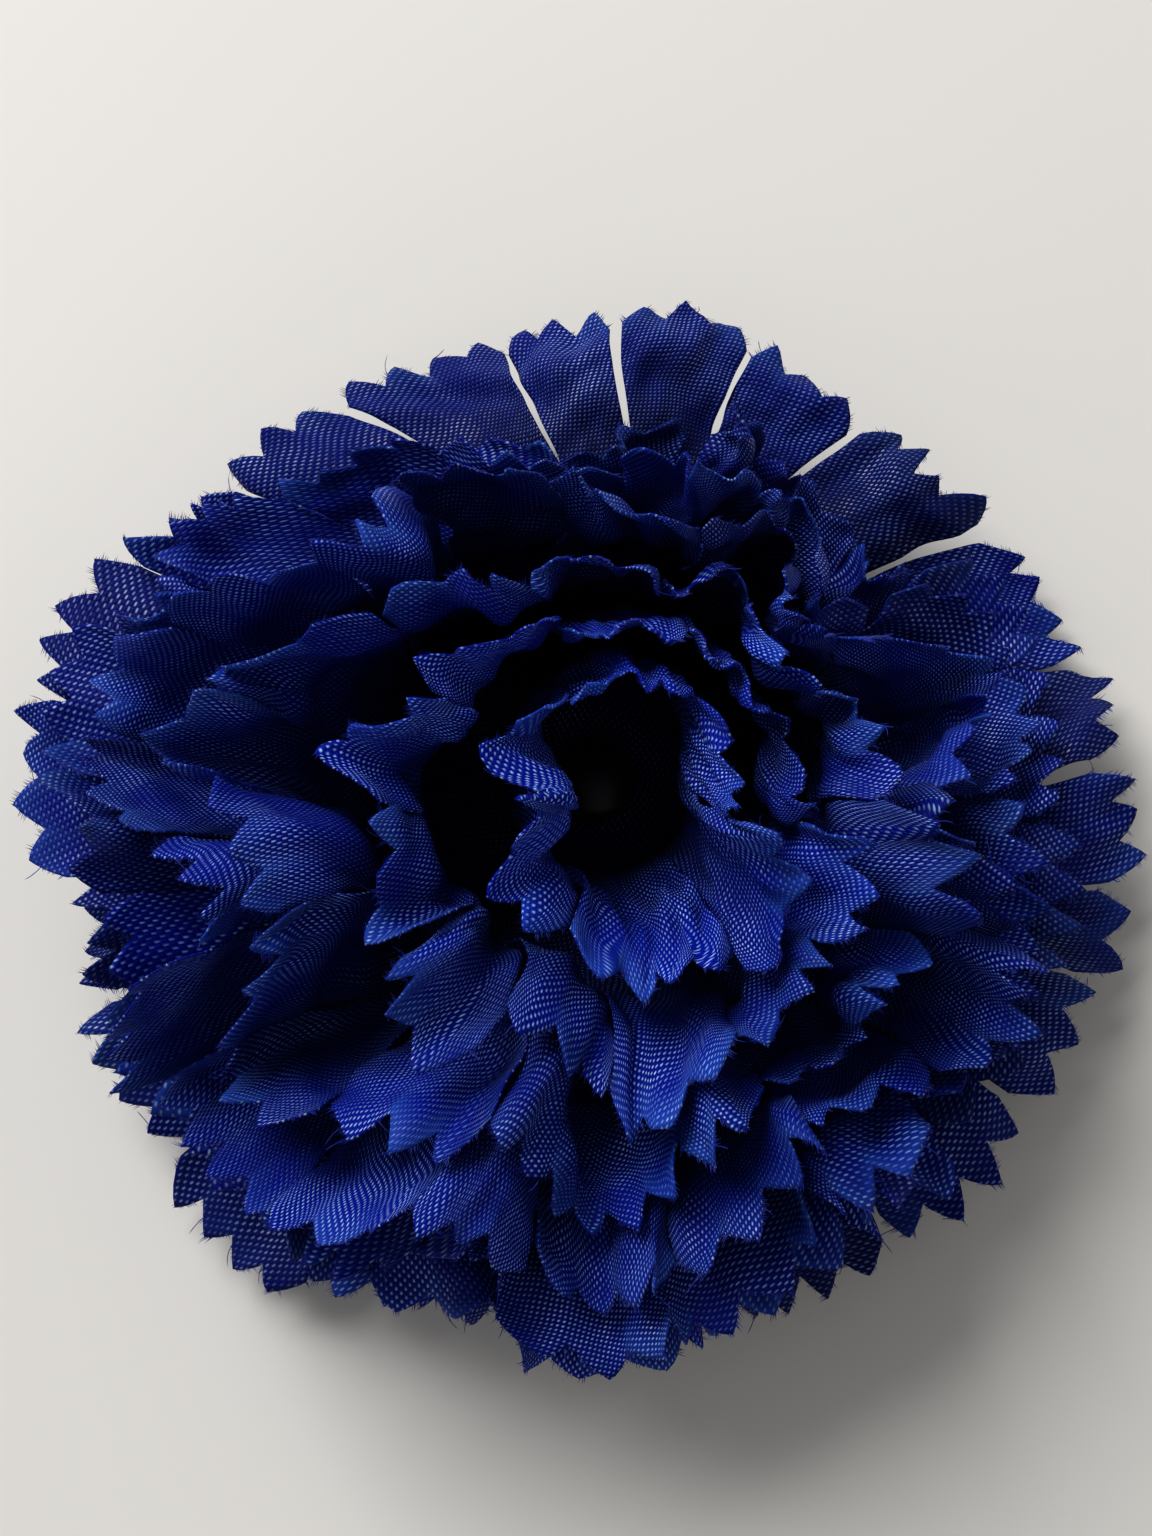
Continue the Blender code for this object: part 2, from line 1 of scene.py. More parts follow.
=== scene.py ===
"""Looks of a silk carnation head: fine woven cloth and moulded plastic in place of its plain solids.

Metres, +Z up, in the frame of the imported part. The cloth follows the same section, waves and slits as the
part's discs, with thinner cloth, finer teeth, small creases and frayed edges. The calyx and the pin are
modelled again on the part's own sections.
"""

import math

import bmesh
import bpy
import numpy as np
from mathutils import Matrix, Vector


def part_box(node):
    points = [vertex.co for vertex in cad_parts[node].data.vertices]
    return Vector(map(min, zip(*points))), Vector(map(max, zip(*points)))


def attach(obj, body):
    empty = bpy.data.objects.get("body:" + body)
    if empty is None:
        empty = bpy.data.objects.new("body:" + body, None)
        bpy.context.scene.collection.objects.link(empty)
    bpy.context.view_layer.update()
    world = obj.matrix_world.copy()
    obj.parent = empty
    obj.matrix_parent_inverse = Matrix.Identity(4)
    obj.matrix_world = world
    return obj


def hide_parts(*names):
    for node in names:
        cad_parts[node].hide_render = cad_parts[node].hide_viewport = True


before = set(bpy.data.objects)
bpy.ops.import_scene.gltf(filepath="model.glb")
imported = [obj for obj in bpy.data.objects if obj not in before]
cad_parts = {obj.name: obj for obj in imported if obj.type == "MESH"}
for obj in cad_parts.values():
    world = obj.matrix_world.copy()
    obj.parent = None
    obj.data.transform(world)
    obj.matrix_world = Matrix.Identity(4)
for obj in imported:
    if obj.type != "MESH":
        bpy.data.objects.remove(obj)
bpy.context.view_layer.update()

MM = 0.001
DEG = math.radians(1.0)
TINY = 1e-9

# Cloth discs, listed from the flat one at the bottom to the upright one in the middle
DISC_RADIUS_MM = (46.5, 46.0, 45.5, 45.0, 42.0, 38.0, 33.0)
DISC_PETALS = (22, 20, 20, 20, 17, 11, 6)
DISC_WAVES = (9, 13, 12, 11, 9, 7, 4)
DISC_WAVE_SHARE = (0.5, 0.9, 1.0, 1.0, 1.0, 0.85, 0.6)
DISC_SEEDS = (41, 45, 45, 48, 45, 43, 44)
PETAL_WILD = (0.06, 0.12, 0.12, 0.10, 0.08, 0.08, 0.08)
DISCS = len(DISC_RADIUS_MM)

# Section of each disc: flat at the hub, then a round bend upward, then straight, then flared at the rim
BEND_AT_MM = (14.0, 14.5, 13.0, 12.5, 10.8, 8.2, 4.6)
BEND_RADIUS_MM = (80.0, 60.0, 40.0, 24.0, 14.5, 8.6, 3.6)
RISE_DEG = (3.0, 24.0, 42.0, 62.0, 78.0, 87.0, 90.0)
FLARE_DEG = (8.0, 25.0, 45.0, 60.0, 65.0, 60.0, 45.0)
SMALLEST_BEND_AT = 2.0 * MM
SMALLEST_BEND_RADIUS = 1.5 * MM
RISE_RANGE_DEG = (-40.0, 92.0)
LARGEST_FLARE_DEG = 60.0
FLARE_LENGTH = 14.0 * MM
FLARE_MEAN = 0.55
FLARE_SWING = 0.45
FLARE_SIDE = -15.0 * DEG
DROOP = 8.0 * DEG
DROOP_FROM = 12.0 * MM
DROOP_LENGTH = 14.0 * MM

# Stack at the middle, as the part has it
SOLID_CLOTH = 0.6 * MM
STACK_STEP = 0.9 * MM
BOTTOM_HUB_Z = 11.6 * MM
HOLE_RADIUS = 1.9 * MM
THIN_CLOTH = 0.18 * MM

# Petals: slits, pinked teeth and the small differences between one petal and the next
SEEN_SLITS_DEG = (-40.0, -20.6, -7.0, 6.5, 19.9, 36.5, 54.0, 68.5, 87.0, 103.0, 122.0, 139.0, 154.0)
SEEN_PETALS = slice(6, 12)
SEEN_LONGER = 1.3 * MM
SLIT_ROOT_SHARE = 0.40
SOLID_SLIT_GAP = 0.8 * MM
FINE_SLIT_GAP = 0.07 * MM
WIDTH_SPREAD = 0.15
TOOTH_PITCH = 4.2 * MM
TOOTH_DEPTH = 2.2 * MM
FEWEST_TEETH = 2
MOST_TEETH = 4
CORNER_DROP = 0.8 * MM
LENGTH_SPREAD = 1.2 * MM
MOST_CURL = 0.5
CURL_FROM = 0.6
PETAL_GROWTH = 1.2
FURTHEST_OUT = 1.1
TILT_TO_CUP = 1.5
RIM_SAMPLES = 721
PETAL_SAMPLES = 30
SLITS_EVEN_AT = 0.9
TEETH_COUNTED_AT = 0.95

# Waves of each disc, in steps between one disc and the next
WAVE_LOW = 0.3
WAVE_HIGH = 1.5
WAVE_GROWTH = 2.2
VALLEY_PINCH = 1.4
SWING = 0.45
OVERHANG = 0.2
SWAY_GROWTH = 1.5
UNEVEN_WAVES = 0.15
UNEVEN_SIDES = 4
DRIFTS = ((2, 0.050), (3, 0.042), (5, 0.025))
HUB_MARGIN = 0.47 * MM
RIM_MARGIN = 0.5 * MM
INNER_MARGIN = 0.15 * MM
MARGIN_FULL_AT = 0.5
INNER_FROM = 4
TOP_ROOM = 0.55

# Bends that all the discs share: (waves, steps, twist from disc to disc, start)
SHARED_WAVES = ((7, 0.75, 0.30, 0.55), (9, 0.34, -0.40, 1.7), (3, 0.3, 0.4, 4.0))
SHARED_FROM = 10.0 * MM
SHARED_LENGTH = 26.0 * MM
SHARED_FULL_LEVEL = 2.8
SHARED_FADE = 0.9
SHARED_FADE_FROM = 3.5
SHARED_FADE_OVER = 2.5
FREE_FROM = 7.0 * MM
FREE_LENGTH = 16.0 * MM
OPEN_SIDE = 84.0 * DEG
OPEN_WIDTH = 48.0 * DEG
OPEN_SHIFT = 1.5
OPEN_PULL = 0.36
OPEN_CALM = 0.85
OPEN_FULL_LEVEL = 0.9
OPEN_FADE_FROM = 0.5
OPEN_FADE_OVER = 6.5
OPEN_STEADY = 0.6
STILL_RADIUS = 9.0 * MM
SQUEEZE = 0.35
SQUEEZE_SIDE = 5.0 * DEG
SQUEEZE_FROM = 4.4
SQUEEZE_OVER = 2.0
LEAN = (0.10, -0.20)
WARPS_MM = ((70.0, 2.4), (42.0, 2.0), (26.0, 1.0))
WARPS_EACH = 3
WARP_SEED = 141
WARP_FREE = 9.0 * MM
WARP_LENGTH = 22.0 * MM
TABLE_CLEAR = SOLID_CLOTH / 2 + 0.05 * MM
TABLE_SOFT = 1.2 * MM

# Fine cloth: rows and columns of its mesh, creases and teeth
HALF_TOOTH_COLUMNS = 4
HUB_ROWS = 10
PETAL_ROWS = 40
CREASES = ((1.0, 0.22), (2.3, 0.15), (4.1, 0.07))
CRUMPLES_MM = ((11.0, 0.34), (6.5, 0.24), (4.0, 0.12))
CRUMPLE_FULL_AT = 0.5
FOLD_WAVE = 8.0 * MM
FOLD_DEPTH = 0.30 * MM
FOLD_FROM = 0.3
TOOTH_CURL = 0.45 * MM
TOOTH_CURL_LENGTH = 4.0 * MM
TOOTH_LEAN = 0.16
TOOTH_UNEVEN = 0.22
TOOTH_ROUND = 1.25
FINE_SEED = 900

# Frayed thread ends along the pinked edges
TUFT_GAP = 0.75 * MM
TUFT_THREADS = (2, 7)
TUFT_STEP = 0.17 * MM
TUFT_UNEVEN = (0.6, 1.2)
STUB_LENGTH = (0.20 * MM, 0.80 * MM)
STUB_SPREAD = 0.14
STUB_RADIUS = 0.055 * MM
STUB_ROOT = 0.10 * MM
LOOSE_SHARE = 0.08
LOOSE_LENGTH = (1.0 * MM, 2.8 * MM)
LOOSE_CURL = 2.0
LOOSE_TURN = 0.8
LOOSE_RISE = 0.4
LOOSE_RADIUS = 0.040 * MM
LOOSE_PIECES = 6
STRAND_SIDE = (0.3, 0.5, 0.81)

# Weave and its colours, with painted highlights on the thread crests and painted shade and sheen on the
# petals
THREAD_PITCHES = (0.28 * MM, 0.39 * MM)
DASH_NARROW = 3.6
THREAD_WANDER = 0.35 * MM
WANDER_SCALE = 260.0
WANDER_DETAIL = 1.0
NOISE_MIDDLE = (0.5, 0.5, 0.5)
THREAD_ROUND = 0.5
THREAD_SPREAD = 0.5
OTHER_THREADS = 7.0
FLAT_CUT_DISCS = 3
WEAVE_TURN_DEG = (56.0, 12.0, 64.0, 25.0, 80.0, 48.0, 5.0)
DEEP_BLUE = (0.0002, 0.0075, 0.250, 1.0)
# The crest colour is a painted highlight: the glint of the thread crests, painted into the base colour
CREST_HIGHLIGHT_BLUE = (0.350, 0.560, 1.0, 1.0)
PRESSED_BLUE = (0.026, 0.098, 0.440, 1.0)
WEAVE_BUMP = 0.10 * MM
WEAVE_BUMP_STRENGTH = 0.9
CLOTH_ROUGHNESS = (0.50, 0.14)
CLOTH_SPECULAR = 0.10
PATCH_NOISE = (170.0, 2.0)
PATCH_RANGE = (0.36, 0.64)
# Noise patches make the painted crest highlights brighter in some places and fainter in others
PATCH_HIGHLIGHT_RANGE = (0.40, 1.45)
# Painted shade and sheen: each petal gets a random brightness in place of the sheen and shade from its angle
# to the lamp, and lower discs are painted darker
PAINTED_SHADE_SHEEN_RANGE = (0.32, 1.0)
LOWER_DISC_SHADE = 1.3
# Painted shade: the cloth is painted darker towards the hub, where the discs shade each other
ROOT_SHADE_REACH = (4.0 * MM, 19.0 * MM)
ROOT_PAINTED_SHADE = 0.22
PRESSED_FROM = 0.35
PRESSED_FULL = 1.0
PRESSED_REACH = (0.2 * MM, 3.0 * MM)
PRESSED_TONE = 0.5
PRESSED_FLAT = 0.6
CREST_SHINE = 0.25
CREST_COAT = 0.9
CREST_COAT_ROUGHNESS = 0.32
FRAY_BLUES = ((0.002, 0.004, 0.11, 1.0), (0.03, 0.05, 0.36, 1.0))
FRAY_NOISE = (900.0, 2.0)
FRAY_ROUGHNESS = 0.5

# Calyx and pin in millimetres: rings are (radius, height) from the foot up, scallops are (height, reach)
CALYX_SIDES = 60
CALYX_RINGS_MM = ((6.5, 0.0), (7.0, 0.5), (6.6, 1.3), (6.25, 2.1), (6.0, 3.0), (6.2, 4.2), (6.6, 5.6),
                  (7.2, 7.5), (8.4, 8.4), (9.6, 9.0), (9.6, 9.9), (7.7, 10.27), (5.8, 10.65), (4.0, 11.0))
SEPALS = 5
SEPAL_SCALLOPS_MM = ((8.4, 0.65), (9.0, 1.3), (9.9, 1.3), (10.27, 0.86), (10.65, 0.42))
SEPAL_EDGE_MM = (8.9, 10.0)
SEPAL_DROOP = 0.35 * MM
RIB_EVERY = 6
RIB_HEIGHTS_MM = (1.3, 7.4)
RIBS_OUTSIDE = 5.0 * MM
RIB_INSET = 0.10 * MM
RIB_RISE = 0.22 * MM
SOCKET_RADIUS = 1.6 * MM
SOCKET_DEPTH = 4.9 * MM
PIN_SEAT_DEPTH = 5.0 * MM
PIN_SIDES = 48
PIN_RINGS_MM = ((1.1, 6.3), (1.6, 6.8), (1.6, 17.6), (3.4, 17.6), (3.4, 18.11), (3.22, 18.49), (2.7, 18.83),
                (1.89, 19.1), (0.88, 19.26))
FACING = 0.9
NEAR = 0.02 * MM
PLASTIC_BEVEL = 0.14 * MM
PLASTIC_BEVEL_STEPS = 2
BEVEL_FROM = 38.0 * DEG

# Plastics and table
CALYX_GREENS = ((0.035, 0.120, 0.030, 1.0), (0.060, 0.180, 0.050, 1.0))
CALYX_ROUGHNESS = 0.5
PIN_BLACKS = ((0.004, 0.005, 0.012, 1.0), (0.007, 0.008, 0.020, 1.0))
PIN_ROUGHNESS = 0.4
PLASTIC_NOISE = (240.0, 4.0)
GRAIN_NOISE = (3000.0, 2.0)
GRAIN_DEPTH = 0.03 * MM
GRAIN_STRENGTH = 0.25
TABLE_TONES = ((0.71, 0.69, 0.655, 1.0), (0.74, 0.72, 0.69, 1.0))
TABLE_NOISE = (9.0, 3.0)
TABLE_ROUGHNESS = 0.6
TABLE_SIZE = 4.0

# Light: one large soft lamp behind on the left, and a room that is brighter at the sides than overhead
LAMP_PLACE = (-0.80, 0.95, 1.15)
LAMP_TARGET = (0.0, 0.0, 0.02)
LAMP_SIZE = 1.1
LAMP_POWER = 27.5
ROOM_COLOUR = (0.88, 0.88, 0.88, 1.0)
ROOM_OVERHEAD = 0.20
ROOM_SIDES = 0.60
ROOM_HEIGHTS = (0.1, 0.9)
PICTURE_LOOK = "Medium High Contrast"

# Camera: the photograph is 1152 by 1536, and its long side is the sensor's height
SENSOR_HEIGHT_MM = 36.0
PHOTO_HEIGHT_PX = 1536
PIXELS_PER_MM = 11.18
CAMERA_DISTANCE = 0.215
CAMERA_NEAR = 0.01
CAMERA_ELEVATION = 76.0 * DEG
CAMERA_TARGET = (-0.0009, 0.0056, 0.0070)


def smooth(x):
    """0 below 0, 1 above 1, and an even S between."""
    x = np.clip(x, 0.0, 1.0)
    return x * x * (3.0 - 2.0 * x)


def soft_limit(x):
    """x while it is small, and never past 1 or -1."""
    return x / (1.0 + np.abs(x) ** 4) ** 0.25


def ridges(x):
    """A wave of sharp ridges and valleys between -1 and 1, one for each step of x."""
    return np.abs(x % 1.0 - 0.5) * 4 - 1


def by_level(values, level):
    """The value at a level between discs, carried on evenly past the first disc and the last."""
    values = np.array(values, dtype=float)
    first = 2 * values[0] - values[1]
    step = values[-1] - values[-2]
    padded = np.concatenate([[first], values, [values[-1] + step, values[-1] + 2 * step]])
    return np.interp(level, np.arange(-1, DISCS + 2), padded)


def leaf(level, reach, flared=1.0):
    """Radius and height of a sheet that is level steps above the bottom one, at distance reach along it."""
    bend_at = np.maximum(by_level(BEND_AT_MM, level) * MM, SMALLEST_BEND_AT)
    radius = np.maximum(by_level(BEND_RADIUS_MM, level) * MM, SMALLEST_BEND_RADIUS)
    rise = np.clip(by_level(RISE_DEG, level), *RISE_RANGE_DEG) * DEG
    flare = np.clip(by_level(FLARE_DEG, level), 0.0, LARGEST_FLARE_DEG) * DEG * flared
    rim = by_level(DISC_RADIUS_MM, level) * MM
    steep = np.abs(rise) + TINY
    past = np.maximum(reach - bend_at, 0.0)
    turned = np.minimum(past / radius, steep)
    after = past - turned * radius
    tail = np.minimum(np.maximum(reach - (rim - FLARE_LENGTH), 0.0), np.maximum(after, 0.0))
    straight = after - tail
    r = np.minimum(reach, bend_at) + radius * np.sin(turned) + straight * np.cos(steep)
    z = np.sign(rise) * (radius * (1 - np.cos(turned)) + straight * np.sin(steep))
    bent = flare * tail / FLARE_LENGTH + TINY
    signed = np.sign(rise) * steep
    r = r + tail / bent * (np.sin(signed) - np.sin(signed - bent))
    z = z + tail / bent * (np.cos(signed - bent) - np.cos(signed))
    fall = np.maximum(reach - DROOP_FROM, 0.0)
    early = DROOP / DROOP_LENGTH * fall ** 2 / 2
    late = DROOP * (fall - DROOP_LENGTH / 2)
    return r, BOTTOM_HUB_Z + level * STACK_STEP + z - np.where(fall < DROOP_LENGTH, early, late)


class Spacing:
    """Distance between neighbouring sheets, kept as a table over level and reach."""

    STEP = 0.4
    LEVELS = 33
    REACHES = 120
    FURTHEST = 52.0 * MM
    BESIDE = 400
    BESIDE_RANGE = (1.0 * MM, 56.0 * MM)
    INSIDE = 1.001

    def __init__(self):
        self.levels = np.linspace(-0.5, DISCS + 0.5, self.LEVELS)
        self.reaches = np.linspace(HOLE_RADIUS, self.FURTHEST, self.REACHES)
        other = np.linspace(*self.BESIDE_RANGE, self.BESIDE)
        rows = []
        for level in self.levels:
            r, z = leaf(level, self.reaches)
            apart = []
            for beside in (level - self.STEP, level + self.STEP):
                beside_r, beside_z = leaf(beside, other)
                square = np.hypot(r[:, None] - beside_r, z[:, None] - beside_z)
                apart.append(square.min(axis=1) / self.STEP)
            rows.append(np.minimum(*apart))
        self.table = np.array(rows)

    def __call__(self, level, reach):
        x = (level - self.levels[0]) / (self.levels[1] - self.levels[0])
        y = (reach - self.reaches[0]) / (self.reaches[1] - self.reaches[0])
        x = np.clip(x, 0.0, len(self.levels) - self.INSIDE)
        y = np.clip(y, 0.0, len(self.reaches) - self.INSIDE)
        i = x.astype(int)
        j = y.astype(int)
        near = self.table[i, j] * (1 - y + j) + self.table[i, j + 1] * (y - j)
        far = self.table[i + 1, j] * (1 - y + j) + self.table[i + 1, j + 1] * (y - j)
        return near * (1 - x + i) + far * (x - i)


SPACING = Spacing()


def opening(turn):
    """1 at the side where the bottom disc lies bare, 0 elsewhere."""
    away = (turn - OPEN_SIDE + math.pi) % math.tau - math.pi
    return np.exp(-(away / OPEN_WIDTH) ** 4)


def raised(turn, level, reach):
    """The level that a sheet has after the bends that all of them share."""
    free = smooth((reach - FREE_FROM) / FREE_LENGTH)
    fading = 1 - smooth((level - OPEN_FADE_FROM) / OPEN_FADE_OVER)
    lift = OPEN_SHIFT * opening(turn) * smooth(level / OPEN_FULL_LEVEL) * fading
    level = level + free * lift
    for waves, size, twist, begin in SHARED_WAVES:
        wide = smooth((reach - SHARED_FROM) / SHARED_LENGTH) * smooth(level / SHARED_FULL_LEVEL)
        wide = wide * (1 - SHARED_FADE * smooth((level - SHARED_FADE_FROM) / SHARED_FADE_OVER))
        wide = wide * (1 - OPEN_STEADY * opening(turn))
        level = level + size * wide * np.cos(waves * turn + twist * level + begin)
    squeeze = SQUEEZE * np.cos(2 * (turn - SQUEEZE_SIDE)) * smooth((level - SQUEEZE_FROM) / SQUEEZE_OVER)
    return level + free * squeeze


def warped(points):
    """Bends the whole head a little, as handling has bent it, with steps too gentle to fold it over."""
    hub = np.array([0.0, 0.0, BOTTOM_HUB_Z + DISCS // 2 * STACK_STEP])
    away = np.linalg.norm(points - hub, axis=-1, keepdims=True)
    fade = smooth((away - WARP_FREE) / WARP_LENGTH)
    moved = points.copy()
    high = np.maximum(points[..., 2] - BOTTOM_HUB_Z, 0.0) * fade[..., 0]
    moved[..., 0] += LEAN[0] * high
    moved[..., 1] += LEAN[1] * high
    draw = np.random.default_rng(WARP_SEED)
    for length, size in WARPS_MM:
        for _ in range(WARPS_EACH):
            along = draw.normal(size=3)
            along *= math.tau / (length * MM) / np.linalg.norm(along)
            push = draw.normal(size=3)
            push *= size * MM / np.linalg.norm(push)
            wave = np.sin(moved @ along + draw.uniform(0, math.tau))
            moved = moved + fade * push * wave[..., None]
    height = moved[..., 2] - TABLE_CLEAR
    lying = TABLE_SOFT * np.exp(np.minimum(height / TABLE_SOFT - 1.0, 0.0))
    moved[..., 2] = TABLE_CLEAR + np.where(height > TABLE_SOFT, height, lying)
    return moved


class Disc:
    """One cloth disc: where its slits and teeth are, and the shape that it is bent to."""

    def __init__(self, number):
        self.number = number
        self.radius = DISC_RADIUS_MM[number] * MM
        self.petals = DISC_PETALS[number]
        self.waves = DISC_WAVES[number]
        self.slit_root = SLIT_ROOT_SHARE * self.radius
        self.slit_gap = SOLID_SLIT_GAP if number == 0 else FINE_SLIT_GAP
        draw = np.random.default_rng(DISC_SEEDS[number])
        self.start = draw.uniform(0, math.tau, 6)
        self.edges = self.slits(draw)
        wild = PETAL_WILD[number]
        self.cup = draw.normal(0.0, wild, self.petals)
        self.tilt = draw.normal(0.0, TILT_TO_CUP * wild, self.petals)
        self.curl = draw.uniform(0.0, MOST_CURL, self.petals)
        self.longer = draw.normal(0.0, LENGTH_SPREAD, self.petals)
        if number == 0:
            self.longer[SEEN_PETALS] += SEEN_LONGER
        self.teeth = self.tooth_counts()
        fine = np.random.default_rng(FINE_SEED + number)
        self.tips = [fine.uniform(0.5 - TOOTH_LEAN, 0.5 + TOOTH_LEAN, count) for count in self.teeth]
        self.depths = [fine.uniform(1 - TOOTH_UNEVEN, 1 + TOOTH_UNEVEN, count) for count in self.teeth]
        self.bends = [fine.uniform(-1, 1, count) for count in self.teeth]
        self.crease_starts = fine.uniform(0, math.tau, (self.petals, len(CREASES)))
        self.crumple_sides = fine.uniform(0, math.tau, (self.petals, len(CRUMPLES_MM) + 1))
        self.crumple_starts = fine.uniform(0, math.tau, (self.petals, len(CRUMPLES_MM) + 1))
        # Painted shade and sheen: a random brightness for each petal, with the lower discs darker
        painted_shade_sheen = fine.uniform(0.0, 1.0, self.petals) + LOWER_DISC_SHADE * number / (DISCS - 1)
        self.painted_shade_sheen = painted_shade_sheen / (1 + LOWER_DISC_SHADE)
        self.pressed = [fine.uniform(0.0, 1.0, count) for count in self.teeth]
        self.fine = fine

    def slits(self, draw):
        """Azimuths of the slits: even along the waved rim, or where they show on the bottom disc."""
        if self.number == 0:
            unseen = self.petals - len(SEEN_SLITS_DEG) + 1
            rest = np.linspace(SEEN_SLITS_DEG[-1], 360.0 + SEEN_SLITS_DEG[0], unseen + 1)
            return np.concatenate([SEEN_SLITS_DEG, rest[1:]]) * DEG
        turn = np.linspace(0, math.tau, RIM_SAMPLES)
        rim = self.place(turn, np.full_like(turn, SLITS_EVEN_AT * self.radius), 0.0)
        steps = np.linalg.norm(np.diff(rim, axis=0), axis=1)
        length = np.concatenate([[0.0], np.cumsum(steps)])
        widths = draw.uniform(1 - WIDTH_SPREAD, 1 + WIDTH_SPREAD, self.petals)
        share = np.concatenate([[0.0], np.cumsum(widths)]) / widths.sum()
        return np.interp(share * length[-1], length, turn)

    def tooth_counts(self):
        counts = []
        for left, right in zip(self.edges, self.edges[1:]):
            turn = np.linspace(left, right, PETAL_SAMPLES)
            rim = self.place(turn, np.full_like(turn, TEETH_COUNTED_AT * self.radius), 0.0)
            width = np.linalg.norm(np.diff(rim, axis=0), axis=1).sum()
            counts.append(int(np.clip(round(width / TOOTH_PITCH), FEWEST_TEETH, MOST_TEETH)))
        return counts

    def phase(self, turn):
        drift = sum(size * np.sin(order * turn + self.start[k]) for k, (order, size) in enumerate(DRIFTS))
        return self.waves * (turn + drift) + self.start[3]

    def place(self, turn, reach, extra):
        """Points of the middle of the cloth; extra is a petal's own lift, in steps between discs."""
        share = reach / self.radius
        uneven = UNEVEN_WAVES * (np.cos(UNEVEN_SIDES * turn + self.start[4]) - 1)
        size = DISC_WAVE_SHARE[self.number] * (1 + uneven)
        if self.number == 0:
            size = size * (1 - OPEN_CALM * opening(turn))
        phase = self.phase(turn)
        wave = size * (2 * ((1 + np.cos(phase)) / 2) ** VALLEY_PINCH - 1)
        grow = WAVE_LOW * share + WAVE_HIGH * share ** WAVE_GROWTH
        middle = raised(turn, self.number + 0.0, reach)
        above = raised(turn, self.number + 0.5, reach) - middle
        below = middle - raised(turn, self.number - 0.5, reach)
        if self.number == DISCS - 1:
            above = above * TOP_ROOM
        rim_margin = RIM_MARGIN + max(self.number - INNER_FROM, 0) * INNER_MARGIN
        margin = HUB_MARGIN + rim_margin * smooth(share / MARGIN_FULL_AT)
        margin = margin / (1 - OPEN_PULL * opening(turn))
        push = soft_limit(wave * grow + 2 * extra)
        room = np.where(push > 0, above, below) - margin / SPACING(middle, reach)
        level = middle + np.maximum(room, 0.0) * push
        r, z = leaf(level, reach, FLARE_MEAN - FLARE_SWING * np.sin(turn - FLARE_SIDE))
        pull = 1 - OPEN_PULL * opening(turn) * smooth(level)
        r = np.minimum(r, STILL_RADIUS) + np.maximum(r - STILL_RADIUS, 0.0) * pull
        side = np.cos(2 * turn + self.start[5])
        sway = SWING * np.sin(phase) + OVERHANG * side * (1 - np.cos(phase))
        azimuth = turn - share ** SWAY_GROWTH * size * sway / self.waves
        return warped(np.stack([r * np.cos(azimuth), r * np.sin(azimuth), z], axis=-1))

    def slit_turn(self, edge, reach, out):
        """Half the slit's opening at one of its edges, as an angle."""
        girth, _ = leaf(self.number + 0.0, reach)
        crowd = 1 - SWING * np.cos(self.phase(edge)) * (reach / self.radius) ** SWAY_GROWTH
        return self.slit_gap / 2 / girth * np.sqrt(out) / crowd

    def petal_turns(self, petal, across, reach):
        """Azimuths on the uncut disc, and how far out each is from the slits' roots."""
        out = np.clip((reach - self.slit_root) / (self.radius - self.slit_root), 0.0, FURTHEST_OUT)
        left = self.edges[petal]
        right = self.edges[petal + 1]
        first = left + self.slit_turn(left, reach, out)
        last = right - self.slit_turn(right, reach, out)
        return first + across * (last - first), out

    def petal_points(self, petal, across, reach):
        """Points of one petal; across is 0 at one slit and 1 at the next."""
        turn, out = self.petal_turns(petal, across, reach)
        side = 2 * across - 1
        extra = (self.cup[petal] * (0.5 - side ** 2) + self.tilt[petal] * side) * out ** PETAL_GROWTH
        extra = extra - self.curl[petal] * (np.maximum(out - CURL_FROM, 0.0) / (1 - CURL_FROM)) ** 2
        if self.number == 0:
            extra = extra * (1 - OPEN_CALM * opening(turn))
        return self.place(turn, reach, extra)

    def columns(self, petal):
        """Shares across a petal, with a column at every notch and every tooth tip."""
        shares = []
        for tooth, tip in enumerate(self.tips[petal]):
            rise = np.arange(HALF_TOOTH_COLUMNS) / HALF_TOOTH_COLUMNS * tip
            fall = tip + np.arange(HALF_TOOTH_COLUMNS) / HALF_TOOTH_COLUMNS * (1 - tip)
            shares.extend((tooth + np.concatenate([rise, fall])) / self.teeth[petal])
        return np.array(shares + [1.0])

    def tooth_at(self, petal, across):
        """Which tooth a share across lies on, and 0 at its tip to 1 at its notches."""
        place = np.clip(across, 0.0, 1.0 - TINY) * self.teeth[petal]
        tooth = place.astype(int)
        tip = np.array(self.tips[petal])[tooth]
        part = place - tooth
        away = np.where(part < tip, (tip - part) / tip, (part - tip) / (1 - tip))
        return tooth, away

    def rim(self, petal, across):
        """How far the pinked edge reaches: out at the tooth tips, in at the notches."""
        tooth, away = self.tooth_at(petal, across)
        corner = CORNER_DROP * np.abs(2 * across - 1) ** 3
        deep = TOOTH_DEPTH * np.where(away < 1, np.array(self.depths[petal])[tooth], 1.0)
        return self.radius + self.longer[petal] - corner - TOOTH_DEPTH + deep * (1 - away ** TOOTH_ROUND)

